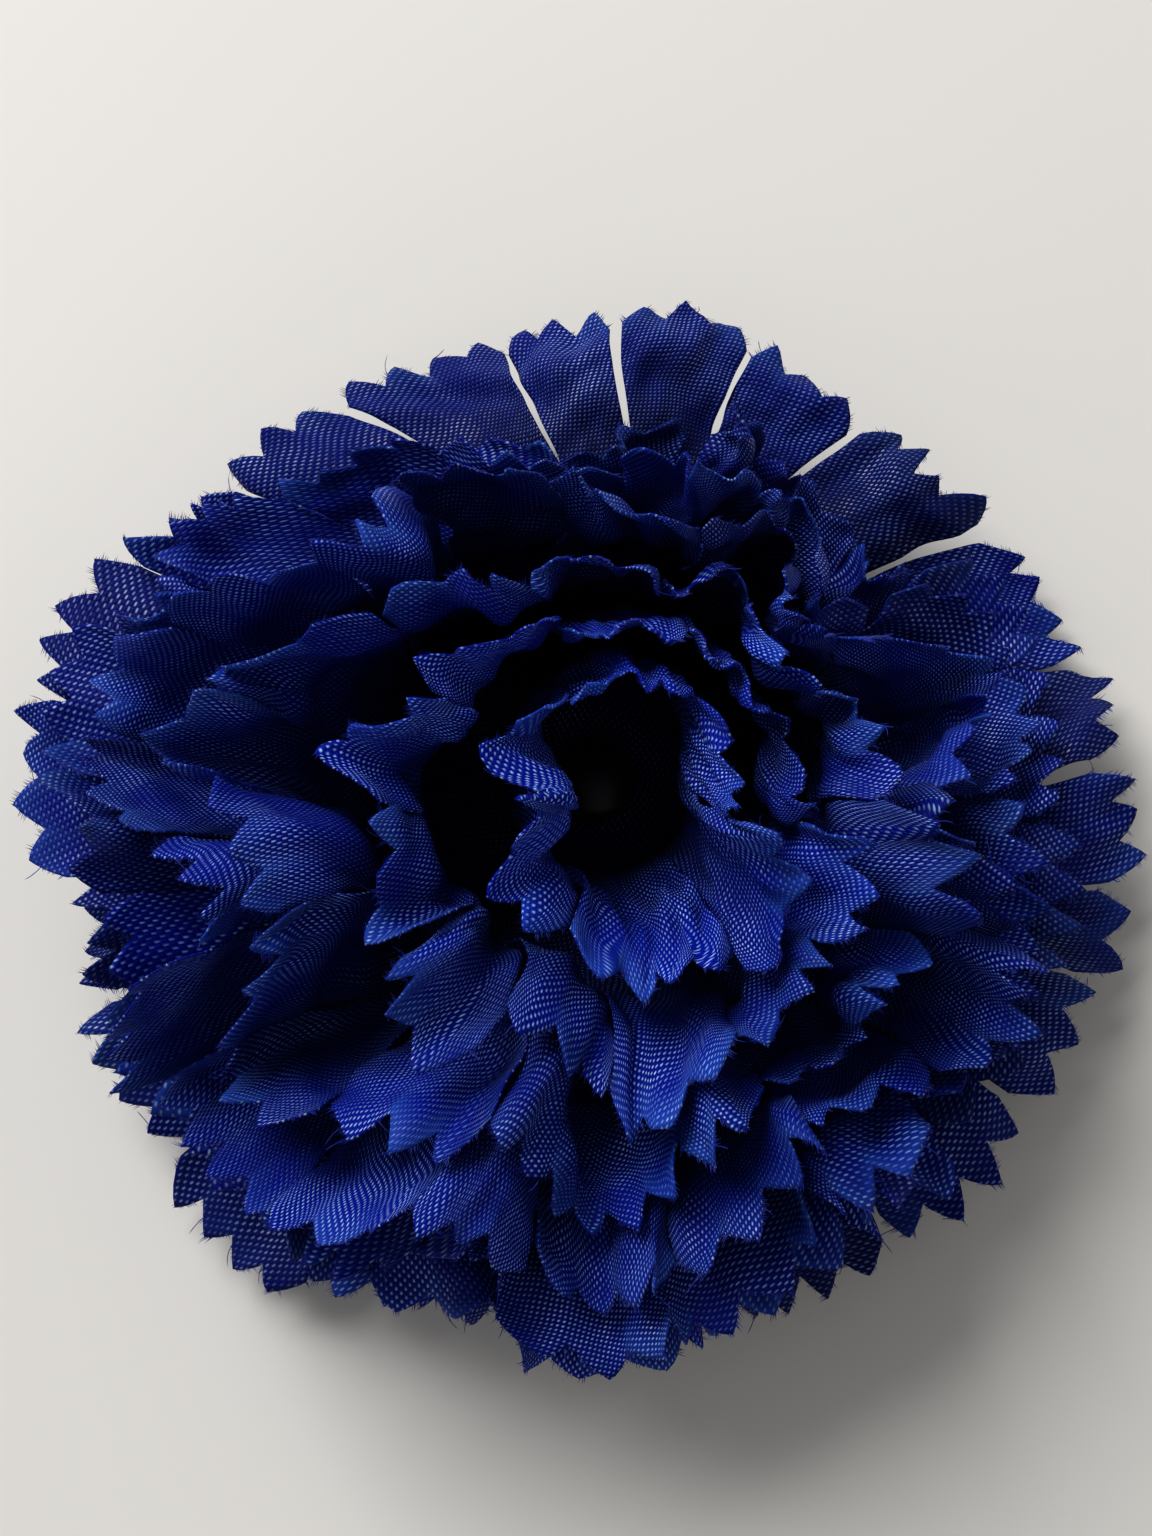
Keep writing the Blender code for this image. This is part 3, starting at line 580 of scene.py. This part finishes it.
    def creased(self, petal, across, reach, points):
        """Adds the small creases and the curl of single teeth, square to the cloth."""
        down = np.gradient(points, axis=0)
        aside = np.gradient(points, axis=1)
        square = np.cross(down, aside)
        square = square / (np.linalg.norm(square, axis=-1, keepdims=True) + TINY)
        out = np.clip((reach - self.slit_root) / (self.radius - self.slit_root), 0.0, FURTHEST_OUT)
        lift = np.zeros_like(reach)
        for (count, size), begin in zip(CREASES, self.crease_starts[petal]):
            lift += size * MM * np.sin(math.tau * count * across + begin + count * out) * out
        width = reach * (self.edges[petal + 1] - self.edges[petal]) * across
        sides = self.crumple_sides[petal]
        starts = self.crumple_starts[petal]
        for (length, size), side, begin in zip(CRUMPLES_MM, sides, starts):
            wave = (reach * math.cos(side) + width * math.sin(side)) / (length * MM)
            lift += size * MM * np.sin(math.tau * wave + begin) * smooth(out / CRUMPLE_FULL_AT)
        fold = (reach * math.cos(sides[-1]) + width * math.sin(sides[-1])) / FOLD_WAVE + starts[-1]
        lift += FOLD_DEPTH * ridges(fold) * smooth((out - FOLD_FROM) / CRUMPLE_FULL_AT)
        tooth, away = self.tooth_at(petal, across)
        near_rim = smooth(1 - (self.rim(petal, across) - reach) / TOOTH_CURL_LENGTH)
        lift += TOOTH_CURL * np.array(self.bends[petal])[tooth] * (1 - away) * near_rim ** 2
        return points + square * lift[..., None], square


def cell_corners(values):
    """The values at the four corners of each cell of a grid."""
    return np.stack([values[:-1, :-1], values[1:, :-1], values[1:, 1:], values[:-1, 1:]], axis=2)


class FineCloth:
    """Mesh of one disc in thin cloth, with its weave's coordinates and its distance from the cut edge."""

    def __init__(self, disc):
        self.disc = disc
        self.points = []
        self.rim_near = []
        self.painted_shade_and_sheen = []
        self.pressed = []
        self.weave = []
        self.grids = []
        self.count = 0
        for petal in range(disc.petals):
            self.grids.append(self.petal_grid(petal))
        for petal in range(disc.petals):
            self.join(petal)

    def petal_grid(self, petal):
        disc = self.disc
        across = disc.columns(petal)
        rim = disc.rim(petal, across)
        inner = np.linspace(HOLE_RADIUS, disc.slit_root, HUB_ROWS + 1)
        steps = (np.arange(PETAL_ROWS) + 1) / PETAL_ROWS
        hub = np.broadcast_to(inner[:, None], (HUB_ROWS + 1, len(across)))
        outer = disc.slit_root + steps[:, None] * (rim[None] - disc.slit_root)
        reach = np.concatenate([hub, outer])
        shares = np.broadcast_to(across, reach.shape)
        points = disc.petal_points(petal, shares, reach)
        points, square = disc.creased(petal, shares, reach, points)
        tooth, _ = disc.tooth_at(petal, shares)
        return {"across": shares, "reach": reach, "points": points, "square": square, "rim": rim,
                "pressed": disc.pressed[petal][tooth]}

    def weave_at(self, petal, grid):
        """Where each point lay on the flat cloth, turned to the weave's own direction."""
        disc = self.disc
        turn, _ = disc.petal_turns(petal, grid["across"], grid["reach"])
        middle = (disc.edges[petal] + disc.edges[petal + 1]) / 2
        angle = WEAVE_TURN_DEG[disc.number] * DEG
        if disc.number < FLAT_CUT_DISCS:
            x = grid["reach"] * np.cos(turn)
            y = grid["reach"] * np.sin(turn)
            grid["thread"] = angle + turn[-1]
        else:
            steps = np.linalg.norm(np.diff(grid["points"], axis=1), axis=-1)
            along = np.concatenate([np.zeros((len(steps), 1)), np.cumsum(steps, axis=1)], axis=1)
            centre = along.shape[1] // 2
            x = grid["reach"]
            y = along - along[:, centre:centre + 1]
            angle = angle + middle
            grid["thread"] = np.full(turn.shape[1], angle)
        cos = math.cos(angle)
        sin = math.sin(angle)
        return np.stack([x * cos - y * sin, x * sin + y * cos], axis=-1)

    def join(self, petal):
        """Numbers a petal's corners; below the slits its last column is the next petal's first."""
        grid = self.grids[petal]
        rows, columns = grid["reach"].shape
        own = columns - 1
        ids = np.zeros((rows, columns), dtype=int)
        start = self.count
        ids[:HUB_ROWS + 1, :own] = start + np.arange((HUB_ROWS + 1) * own).reshape(HUB_ROWS + 1, own)
        start += (HUB_ROWS + 1) * own
        ids[HUB_ROWS + 1:] = start + np.arange((rows - HUB_ROWS - 1) * columns).reshape(-1, columns)
        grid["ids"] = ids
        grid["weave"] = self.weave_at(petal, grid)
        self.points.extend([part.reshape(-1, 3) for part in self.owned(grid["points"])])
        self.rim_near.extend([part.ravel() for part in self.owned(grid["rim"][None] - grid["reach"])])
        self.pressed.extend([part.ravel() for part in self.owned(grid["pressed"])])
        added = (HUB_ROWS + 1) * own + (rows - HUB_ROWS - 1) * columns
        self.painted_shade_and_sheen.append(np.full(added, self.disc.painted_shade_sheen[petal]))
        self.count += added

    @staticmethod
    def owned(values):
        """A petal's values without its last column below the slits, which is the next petal's first."""
        return values[:HUB_ROWS + 1, :-1], values[HUB_ROWS + 1:]

    def finish_ids(self):
        for petal, grid in enumerate(self.grids):
            following = self.grids[(petal + 1) % len(self.grids)]
            grid["ids"][:HUB_ROWS + 1, -1] = following["ids"][:HUB_ROWS + 1, 0]

    def mesh(self, name):
        self.finish_ids()
        faces = []
        corners = []
        for grid in self.grids:
            faces.append(cell_corners(grid["ids"]).reshape(-1, 4))
            corners.append(cell_corners(grid["weave"]).reshape(-1, 2))
        mesh = bpy.data.meshes.new(name)
        points = np.concatenate(self.points) - HEAD_SHIFT
        mesh.from_pydata(points.tolist(), [], np.concatenate(faces).tolist())
        layer = mesh.uv_layers.new(name="weave")
        layer.data.foreach_set("uv", np.concatenate(corners).astype(np.float32).ravel())
        # The brightness kept for each petal is painted shade and sheen
        for label, values in (("rim_near", self.rim_near), ("painted_shade_and_sheen", self.painted_shade_and_sheen), ("pressed", self.pressed)):
            add_values(mesh, label, np.concatenate(values))
        mesh.update()
        return mesh


def add_values(mesh, name, values):
    """Keeps one number for each corner, for the materials to read."""
    layer = mesh.attributes.new(name=name, type="FLOAT", domain="POINT")
    layer.data.foreach_set("value", values.astype(np.float32))


def add_object(name, data):
    made = bpy.data.objects.new(name, data)
    bpy.context.scene.collection.objects.link(made)
    return made


def pick(piece):
    """Selects one piece alone and makes it active."""
    bpy.ops.object.select_all(action="DESELECT")
    piece.select_set(True)
    bpy.context.view_layer.objects.active = piece


def apply_all(piece):
    pick(piece)
    for modifier in list(piece.modifiers):
        bpy.ops.object.modifier_apply(modifier=modifier.name)


def thin_cloth(fine, name):
    """One disc of cloth, given its thickness."""
    piece = add_object(name, fine.mesh(name))
    solid = piece.modifiers.new("cloth thickness", "SOLIDIFY")
    solid.thickness = THIN_CLOTH
    solid.offset = 0.0
    apply_all(piece)
    bpy.ops.object.shade_smooth()
    return piece


class Fray:
    """Thread ends that stand out of the cut edges: short spikes, and a few long loose threads."""

    SIDES = 3

    def __init__(self):
        self.points = []
        self.faces = []

    def strand(self, path, radius):
        """A closed three-sided thread along a path, that ends in a point."""
        path = np.asarray(path)
        first = len(self.points)
        along = path[1] - path[0]
        aside = np.cross(along, STRAND_SIDE)
        aside /= np.linalg.norm(aside) + TINY
        other = np.cross(along, aside)
        other /= np.linalg.norm(other) + TINY
        rings = len(path) - 1
        for point in path[:-1]:
            for side in range(self.SIDES):
                angle = math.tau * side / self.SIDES
                self.points.append(point + radius * (math.cos(angle) * aside + math.sin(angle) * other))
        self.points.append(path[-1])
        tip = len(self.points) - 1
        self.faces.append((first + 2, first + 1, first))
        for ring in range(rings):
            low = first + ring * self.SIDES
            for side in range(self.SIDES):
                after = (side + 1) % self.SIDES
                if ring == rings - 1:
                    self.faces.append((low + side, low + after, tip))
                else:
                    high = low + self.SIDES
                    self.faces.append((low + side, low + after, high + after, high + side))

    def along_rim(self, disc, petal, grid):
        """Sets tufts of thread ends along one petal's pinked edge, in line with the threads of its weave."""
        edge = grid["points"][-1]
        outward = edge - grid["points"][-2]
        outward /= np.linalg.norm(outward, axis=-1, keepdims=True) + TINY
        square = grid["square"][-1]
        along_edge = (edge, outward, square, np.cross(square, outward), grid["thread"])
        lengths = np.concatenate([[0.0], np.cumsum(np.linalg.norm(np.diff(edge, axis=0), axis=1))])
        draw = disc.fine
        place = draw.uniform(0.0, TUFT_GAP)
        while place < lengths[-1]:
            here, out, up, aside, turn = (self.between(values, lengths, place) for values in along_edge)
            before = self.between(edge, lengths, place - TUFT_STEP)
            after = self.between(edge, lengths, place + TUFT_STEP)
            facing = np.cross(up, after - before)
            facing = facing * np.sign(facing @ out)
            one = math.cos(turn) * out - math.sin(turn) * aside
            other = math.sin(turn) * out + math.cos(turn) * aside
            thread = max((one, other, -one, -other), key=lambda each: each @ facing)
            if draw.uniform() < LOOSE_SHARE:
                self.strand(self.loose(draw, here, thread, up), LOOSE_RADIUS)
            length = draw.uniform(*STUB_LENGTH)
            for _ in range(draw.integers(*TUFT_THREADS)):
                lean = draw.normal(0.0, STUB_SPREAD, 3)
                root = self.between(edge, lengths, place) - thread * STUB_ROOT
                reach = STUB_ROOT + length * draw.uniform(*TUFT_UNEVEN)
                self.strand([root, root + (thread + lean) * reach], STUB_RADIUS)
                place += TUFT_STEP
            place += draw.exponential(TUFT_GAP)

    @staticmethod
    def loose(draw, here, thread, up):
        """The path of one long loose thread, which curls as it goes."""
        length = draw.uniform(*LOOSE_LENGTH)
        turn = draw.normal(0.0, LOOSE_TURN)
        rise = draw.normal(0.0, LOOSE_RISE)
        aside = np.cross(thread, up)
        point = here - thread * STUB_ROOT
        direction = thread
        path = []
        for _ in range(LOOSE_PIECES):
            path.append(point)
            direction = direction + (turn * aside + rise * up) / LOOSE_PIECES * LOOSE_CURL
            direction = direction / np.linalg.norm(direction)
            point = point + direction * length / LOOSE_PIECES
        return path

    @staticmethod
    def between(values, lengths, place):
        place = np.clip(place, 0.0, lengths[-1])
        k = int(np.clip(np.searchsorted(lengths, place) - 1, 0, len(lengths) - 2))
        share = (place - lengths[k]) / (lengths[k + 1] - lengths[k] + TINY)
        return values[k] * (1 - share) + values[k + 1] * share

    def piece(self, name):
        mesh = bpy.data.meshes.new(name)
        mesh.from_pydata((np.array(self.points) - HEAD_SHIFT).tolist(), [], self.faces)
        mesh.update()
        return add_object(name, mesh)


# Materials


def fill(tree, node, values):
    """Sets a node's inputs, by name or number; where the value is a socket, it is linked."""
    for place, value in values.items():
        if isinstance(value, bpy.types.NodeSocket):
            tree.links.new(value, node.inputs[place])
        else:
            node.inputs[place].default_value = value


def math_node(tree, operation, *values):
    node = tree.nodes.new("ShaderNodeMath")
    node.operation = operation
    fill(tree, node, dict(enumerate(values)))
    return node.outputs[0]


def vector_node(tree, operation, first, second):
    node = tree.nodes.new("ShaderNodeVectorMath")
    node.operation = operation
    fill(tree, node, {0: first, "Scale" if operation == "SCALE" else 1: second})
    return node.outputs[0]


def weave_group():
    """Plain weave: the height of the threads, and a mask of the crests of one of its two sets of threads."""
    group = bpy.data.node_groups.new("plain_weave", "ShaderNodeTree")
    group.interface.new_socket("Cloth", in_out="INPUT", socket_type="NodeSocketVector")
    for label in ("Height", "Crest", "Thread"):
        group.interface.new_socket(label, in_out="OUTPUT", socket_type="NodeSocketFloat")
    given = group.nodes.new("NodeGroupInput")
    result = group.nodes.new("NodeGroupOutput")

    def crown(place):
        """0 along a thread's two edges and 1 along its middle."""
        part = math_node(group, "FRACT", place)
        return math_node(group, "SINE", math_node(group, "MULTIPLY", part, math.pi))

    def rounded(along, across):
        """Height of one set of threads where it lies on top."""
        top = math_node(group, "MULTIPLY_ADD", along, THREAD_ROUND, 1 - THREAD_ROUND)
        return math_node(group, "MULTIPLY", math_node(group, "SQRT", across), top)

    drift = group.nodes.new("ShaderNodeTexNoise")
    fill(group, drift, {"Vector": given.outputs["Cloth"], "Scale": WANDER_SCALE, "Detail": WANDER_DETAIL})
    centred = vector_node(group, "SUBTRACT", drift.outputs["Color"], NOISE_MIDDLE)
    moved = vector_node(group, "SCALE", centred, THREAD_WANDER)
    placed = vector_node(group, "ADD", given.outputs["Cloth"], moved)
    parts = group.nodes.new("ShaderNodeSeparateXYZ")
    fill(group, parts, {0: placed})
    x = math_node(group, "DIVIDE", parts.outputs["X"], THREAD_PITCHES[0])
    y = math_node(group, "DIVIDE", parts.outputs["Y"], THREAD_PITCHES[1])
    crown_x = crown(x)
    crown_y = crown(y)
    column = math_node(group, "FLOOR", x)
    row = math_node(group, "FLOOR", y)
    over = math_node(group, "FLOORED_MODULO", math_node(group, "ADD", column, row), 2.0)
    long_x = rounded(crown_x, crown_y)
    long_y = rounded(crown_y, crown_x)
    height = math_node(group, "MULTIPLY_ADD", over, math_node(group, "SUBTRACT", long_y, long_x), long_x)
    dash = math_node(group, "MULTIPLY", math_node(group, "POWER", crown_x, DASH_NARROW), crown_y)
    crest = math_node(group, "MULTIPLY", over, dash)
    pair = group.nodes.new("ShaderNodeCombineXYZ")
    fill(group, pair, {"X": column, "Y": math_node(group, "MULTIPLY", over, OTHER_THREADS)})
    odd = group.nodes.new("ShaderNodeTexWhiteNoise")
    odd.noise_dimensions = "2D"
    fill(group, odd, {"Vector": pair.outputs[0]})
    fill(group, result, {"Height": height, "Crest": crest, "Thread": odd.outputs["Value"]})
    return group


def new_material(name):
    made = bpy.data.materials.new(name)
    made.use_nodes = True
    return made, made.node_tree, made.node_tree.nodes["Principled BSDF"]


def mixed(tree, share, first, second):
    """Mixes two colours; each is a colour or a socket."""
    node = tree.nodes.new("ShaderNodeMix")
    node.data_type = "RGBA"
    fill(tree, node, {"Factor": share, "A": first, "B": second})
    return node.outputs["Result"]


def named_value(tree, name):
    """One number that the mesh keeps for each corner."""
    node = tree.nodes.new("ShaderNodeAttribute")
    node.attribute_name = name
    return node.outputs["Fac"]


def ranged(tree, value, low, high, first=0.0, last=1.0):
    """Carries a value from low to high over to first to last."""
    node = tree.nodes.new("ShaderNodeMapRange")
    fill(tree, node, {"Value": value, "From Min": low, "From Max": high, "To Min": first, "To Max": last})
    return node.outputs[0]


def noise(tree, scale, detail):
    """Noise in the piece's own space."""
    place = tree.nodes.new("ShaderNodeTexCoord")
    node = tree.nodes.new("ShaderNodeTexNoise")
    fill(tree, node, {"Vector": place.outputs["Object"], "Scale": scale, "Detail": detail})
    return node.outputs["Fac"]


def bumped(tree, height, distance, strength):
    node = tree.nodes.new("ShaderNodeBump")
    fill(tree, node, {"Height": height, "Distance": distance, "Strength": strength})
    return node.outputs[0]


def cloth_material(weave):
    """Royal blue polyester: deep blue threads with a painted highlight on their crests, painted shade and
    sheen from petal to petal and towards the hub, pressed smooth at a few tooth tips.
    """
    made, tree, shader = new_material("royal_blue_weave")
    coordinates = tree.nodes.new("ShaderNodeUVMap")
    coordinates.uv_map = "weave"
    threads = tree.nodes.new("ShaderNodeGroup")
    threads.node_tree = weave
    fill(tree, threads, {"Cloth": coordinates.outputs[0]})
    patches = noise(tree, *PATCH_NOISE)
    close = ranged(tree, named_value(tree, "rim_near"), *PRESSED_REACH, 1.0, 0.0)
    chosen = ranged(tree, named_value(tree, "pressed"), PRESSED_FROM, PRESSED_FULL)
    pressed = math_node(tree, "MULTIPLY", close, chosen)
    # Painted highlight: light blue on the thread crests, in patches, mixed into the base colour; the same
    # mask also lowers roughness and adds coat
    uneven = math_node(tree, "MULTIPLY_ADD", threads.outputs["Thread"], THREAD_SPREAD, 1 - THREAD_SPREAD)
    lit = math_node(tree, "MULTIPLY", threads.outputs["Crest"], uneven)
    lit = math_node(tree, "MULTIPLY", lit, ranged(tree, patches, *PATCH_RANGE, *PATCH_HIGHLIGHT_RANGE))
    lit = math_node(tree, "MINIMUM", lit, 1.0)
    weave_with_highlight = mixed(tree, lit, DEEP_BLUE, CREST_HIGHLIGHT_BLUE)
    colour = mixed(tree, math_node(tree, "MULTIPLY", pressed, PRESSED_TONE), weave_with_highlight, PRESSED_BLUE)
    # Painted shade and sheen: each petal's brightness, with lower discs darker
    lowest, spread = PAINTED_SHADE_SHEEN_RANGE
    petal_painted_shade = math_node(tree, "MULTIPLY_ADD", named_value(tree, "painted_shade_and_sheen"), spread, lowest)
    # Painted shade, darker towards the hub
    root_painted_shade = ranged(tree, named_value(tree, "rim_near"), *ROOT_SHADE_REACH, 1.0, ROOT_PAINTED_SHADE)
    painted_shade_node = tree.nodes.new("ShaderNodeHueSaturation")
    fill(tree, painted_shade_node, {"Color": colour, "Value": math_node(tree, "MULTIPLY", petal_painted_shade, root_painted_shade)})
    smoothest, rougher = CLOTH_ROUGHNESS
    dull = math_node(tree, "MULTIPLY_ADD", patches, rougher, smoothest)
    flatter = math_node(tree, "MULTIPLY_ADD", pressed, -PRESSED_FLAT, 1.0)
    relief = math_node(tree, "MULTIPLY", threads.outputs["Height"], flatter)
    fill(tree, shader, {
        "Base Color": painted_shade_node.outputs[0],
        "Roughness": math_node(tree, "MULTIPLY_ADD", lit, -CREST_SHINE, dull),
        "Normal": bumped(tree, relief, WEAVE_BUMP, WEAVE_BUMP_STRENGTH),
        "Coat Weight": math_node(tree, "MULTIPLY", lit, CREST_COAT),
        "Coat Roughness": CREST_COAT_ROUGHNESS,
        "Specular IOR Level": CLOTH_SPECULAR,
    })
    return made


def fray_material():
    made, tree, shader = new_material("frayed_thread")
    colour = mixed(tree, noise(tree, *FRAY_NOISE), *FRAY_BLUES)
    looks = {"Base Color": colour, "Roughness": FRAY_ROUGHNESS, "Specular IOR Level": CLOTH_SPECULAR}
    fill(tree, shader, looks)
    return made


def plastic_material(name, dark, light, roughness):
    """Moulded plastic with a fine matte grain and slightly uneven colour."""
    made, tree, shader = new_material(name)
    colour = mixed(tree, noise(tree, *PLASTIC_NOISE), dark, light)
    grain = bumped(tree, noise(tree, *GRAIN_NOISE), GRAIN_DEPTH, GRAIN_STRENGTH)
    fill(tree, shader, {"Base Color": colour, "Normal": grain, "Roughness": roughness})
    return made


def floor_material():
    made, tree, shader = new_material("pale_table")
    colour = mixed(tree, noise(tree, *TABLE_NOISE), *TABLE_TONES)
    fill(tree, shader, {"Base Color": colour, "Roughness": TABLE_ROUGHNESS})
    return made


def dress(piece, material):
    piece.data.materials.clear()
    piece.data.materials.append(material)


# Pieces


def make_cloth(material, fray_look):
    """All the cloth discs with their frayed edges, each in place of its solid."""
    for number in range(DISCS):
        fine = FineCloth(Disc(number))
        piece = thin_cloth(fine, f"cloth_petals_{number + 1}")
        dress(piece, material)
        fray = Fray()
        for petal, grid in enumerate(fine.grids):
            fray.along_rim(fine.disc, petal, grid)
        edge = fray.piece(f"frayed_edge_{number + 1}")
        dress(edge, fray_look)
        for each in (piece, edge):
            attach(each, "root")
        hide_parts(f"petal_layer_{number + 1}")


def select_faces(piece, wanted):
    """Selects the faces whose middle, measured from the head's axis, passes the test."""
    shape = bmesh.from_edit_mesh(piece.data)
    bpy.ops.mesh.select_all(action="DESELECT")
    for face in shape.faces:
        middle = face.calc_center_median() - AXIS_FOOT
        if wanted(middle, face.normal):
            face.select_set(True)
    bmesh.update_edit_mesh(piece.data)


def select_corners(piece, wanted):
    """Selects the corners whose place, measured from the head's axis, passes the test."""
    shape = bmesh.from_edit_mesh(piece.data)
    bpy.ops.mesh.select_all(action="DESELECT")
    for corner in shape.verts:
        if wanted(corner.co - AXIS_FOOT):
            corner.select_set(True)
    shape.select_flush_mode()
    bmesh.update_edit_mesh(piece.data)


def widen(scale):
    """Scales what is selected towards or away from the head's axis."""
    bpy.ops.transform.resize(value=(scale, scale, 1.0), center_override=AXIS_FOOT)


def extrude(rise):
    bpy.ops.mesh.extrude_region_move(TRANSFORM_OT_translate={"value": (0, 0, rise)})


def turned_piece(name, rings, sides):
    """A round piece: a short cylinder, extruded and scaled from ring to ring. It is left in edit mode."""
    (first, low), (second, high) = rings[:2]
    place = AXIS_FOOT + Vector((0, 0, (low + high) / 2 * MM))
    bpy.ops.object.select_all(action="DESELECT")
    depth = (high - low) * MM
    bpy.ops.mesh.primitive_cylinder_add(vertices=sides, radius=first * MM, depth=depth, location=place)
    piece = bpy.context.object
    piece.name = name
    bpy.ops.object.transform_apply(location=True, rotation=True, scale=True)
    bpy.ops.object.mode_set(mode="EDIT")
    bpy.ops.mesh.select_mode(type="FACE")
    select_faces(piece, lambda middle, normal: normal.z > FACING and middle.z > high * MM - NEAR)
    widen(second / first)
    for (radius, height), (next_radius, next_height) in zip(rings[1:], rings[2:]):
        extrude((next_height - height) * MM)
        widen(next_radius / radius)
    return piece


def hollow_out(ring_radius, hole_radius, depth):
    """Insets the selected round face and pushes its middle in by depth."""
    extrude(0.0)
    widen(hole_radius / ring_radius)
    extrude(depth)


def on_bearing(place, bearing):
    """Whether a corner lies on a bearing, or on the like one of another sepal."""
    sepal = math.tau / SEPALS
    turn = (math.atan2(place.y, place.x) - bearing) % sepal
    return min(turn, sepal - turn) < math.pi / CALYX_SIDES


def shape_sepals(piece):
    """Scales the brim's rings in or out, one bearing at a time, and lets the sepals' tips droop."""
    radius_at = {height: radius for radius, height in CALYX_RINGS_MM}
    lowest, highest = SEPAL_EDGE_MM
    bpy.ops.mesh.select_mode(type="VERT")
    for step in range(CALYX_SIDES // SEPALS):
        bearing = math.tau * step / CALYX_SIDES
        wave = math.cos(SEPALS * bearing)
        for height, scallop in SEPAL_SCALLOPS_MM:
            select_corners(piece, lambda at: on_bearing(at, bearing) and abs(at.z - height * MM) < NEAR)
            widen(1 + scallop * wave / radius_at[height])
        select_corners(piece, lambda at: on_bearing(at, bearing) and lowest * MM < at.z < highest * MM)
        bpy.ops.transform.translate(value=(0, 0, -SEPAL_DROOP * max(wave, 0.0)))


def raise_ribs(piece):
    """Insets some columns of faces round the belly and pushes them outward."""
    low, high = RIB_HEIGHTS_MM
    step = math.tau / CALYX_SIDES

    def on_rib(middle, normal):
        column = round(math.atan2(middle.y, middle.x) / step - 0.5)
        outside = math.hypot(middle.x, middle.y) > RIBS_OUTSIDE
        return outside and column % RIB_EVERY == 0 and low * MM < middle.z < high * MM

    bpy.ops.mesh.select_mode(type="FACE")
    select_faces(piece, on_rib)
    bpy.ops.mesh.inset(thickness=RIB_INSET, depth=RIB_RISE)


def finish_plastic(piece, replaced, look):
    """Rounds the edges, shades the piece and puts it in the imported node's place."""
    bpy.ops.object.mode_set(mode="OBJECT")
    bevel = piece.modifiers.new("soft edges", "BEVEL")
    bevel.width = PLASTIC_BEVEL
    bevel.segments = PLASTIC_BEVEL_STEPS
    bevel.limit_method = "ANGLE"
    bevel.angle_limit = BEVEL_FROM
    apply_all(piece)
    bpy.ops.object.shade_smooth_by_angle(angle=BEVEL_FROM)
    dress(piece, look)
    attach(piece, "root")
    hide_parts(replaced)


def make_calyx():
    piece = turned_piece("calyx_moulding", CALYX_RINGS_MM, CALYX_SIDES)
    hollow_out(CALYX_RINGS_MM[-1][0] * MM, HOLE_RADIUS, -PIN_SEAT_DEPTH)
    select_faces(piece, lambda middle, normal: normal.z < -FACING and middle.z < NEAR)
    hollow_out(CALYX_RINGS_MM[0][0] * MM, SOCKET_RADIUS, SOCKET_DEPTH)
    shape_sepals(piece)
    raise_ribs(piece)
    finish_plastic(piece, "calyx", plastic_material("moss_green_plastic", *CALYX_GREENS, CALYX_ROUGHNESS))


def make_pin():
    piece = turned_piece("pin_moulding", PIN_RINGS_MM, PIN_SIDES)
    finish_plastic(piece, "center_pin", plastic_material("dark_plastic", *PIN_BLACKS, PIN_ROUGHNESS))


# Floor, light and camera


def make_floor():
    bpy.ops.object.select_all(action="DESELECT")
    bpy.ops.mesh.primitive_plane_add(size=TABLE_SIZE, location=(0, 0, 0))
    floor = bpy.context.object
    floor.name = "table_top"
    dress(floor, floor_material())


def aimed(thing, place, target):
    thing.location = place
    thing.rotation_mode = "QUATERNION"
    thing.rotation_quaternion = (Vector(target) - Vector(place)).to_track_quat("-Z", "Y")


def light_scene():
    lamp = bpy.data.lights.new("window_light", "AREA")
    lamp.size = LAMP_SIZE
    lamp.energy = LAMP_POWER
    aimed(add_object("window_light", lamp), LAMP_PLACE, LAMP_TARGET)
    scene = bpy.context.scene
    world = bpy.data.worlds.new("room")
    scene.world = world
    world.use_nodes = True
    tree = world.node_tree
    place = tree.nodes.new("ShaderNodeTexCoord")
    parts = tree.nodes.new("ShaderNodeSeparateXYZ")
    fill(tree, parts, {0: place.outputs["Generated"]})
    strength = ranged(tree, parts.outputs["Z"], *ROOM_HEIGHTS, ROOM_SIDES, ROOM_OVERHEAD)
    fill(tree, tree.nodes["Background"], {"Color": ROOM_COLOUR, "Strength": strength})
    scene.view_settings.view_transform = "Standard"
    scene.view_settings.look = PICTURE_LOOK


def place_camera():
    """Looks down from the near side, so that the photograph's 1536 pixels fill the sensor's height."""
    camera = add_object("camera", bpy.data.cameras.new("camera"))
    bpy.context.scene.camera = camera
    camera.data.sensor_fit = "VERTICAL"
    camera.data.sensor_height = SENSOR_HEIGHT_MM
    camera.data.lens = SENSOR_HEIGHT_MM * PIXELS_PER_MM * CAMERA_DISTANCE / MM / PHOTO_HEIGHT_PX
    camera.data.clip_start = CAMERA_NEAR
    back = Vector((0.0, -math.cos(CAMERA_ELEVATION), math.sin(CAMERA_ELEVATION)))
    target = Vector(CAMERA_TARGET)
    aimed(camera, target + back * CAMERA_DISTANCE, target)


PIN_LOW, PIN_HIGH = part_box("center_pin")
AXIS = (PIN_LOW + PIN_HIGH) / 2
AXIS_FOOT = Vector((AXIS.x, AXIS.y, 0.0))
HEAD_SHIFT = -np.array(AXIS_FOOT)

make_cloth(cloth_material(weave_group()), fray_material())
make_calyx()
make_pin()
make_floor()
light_scene()
place_camera()
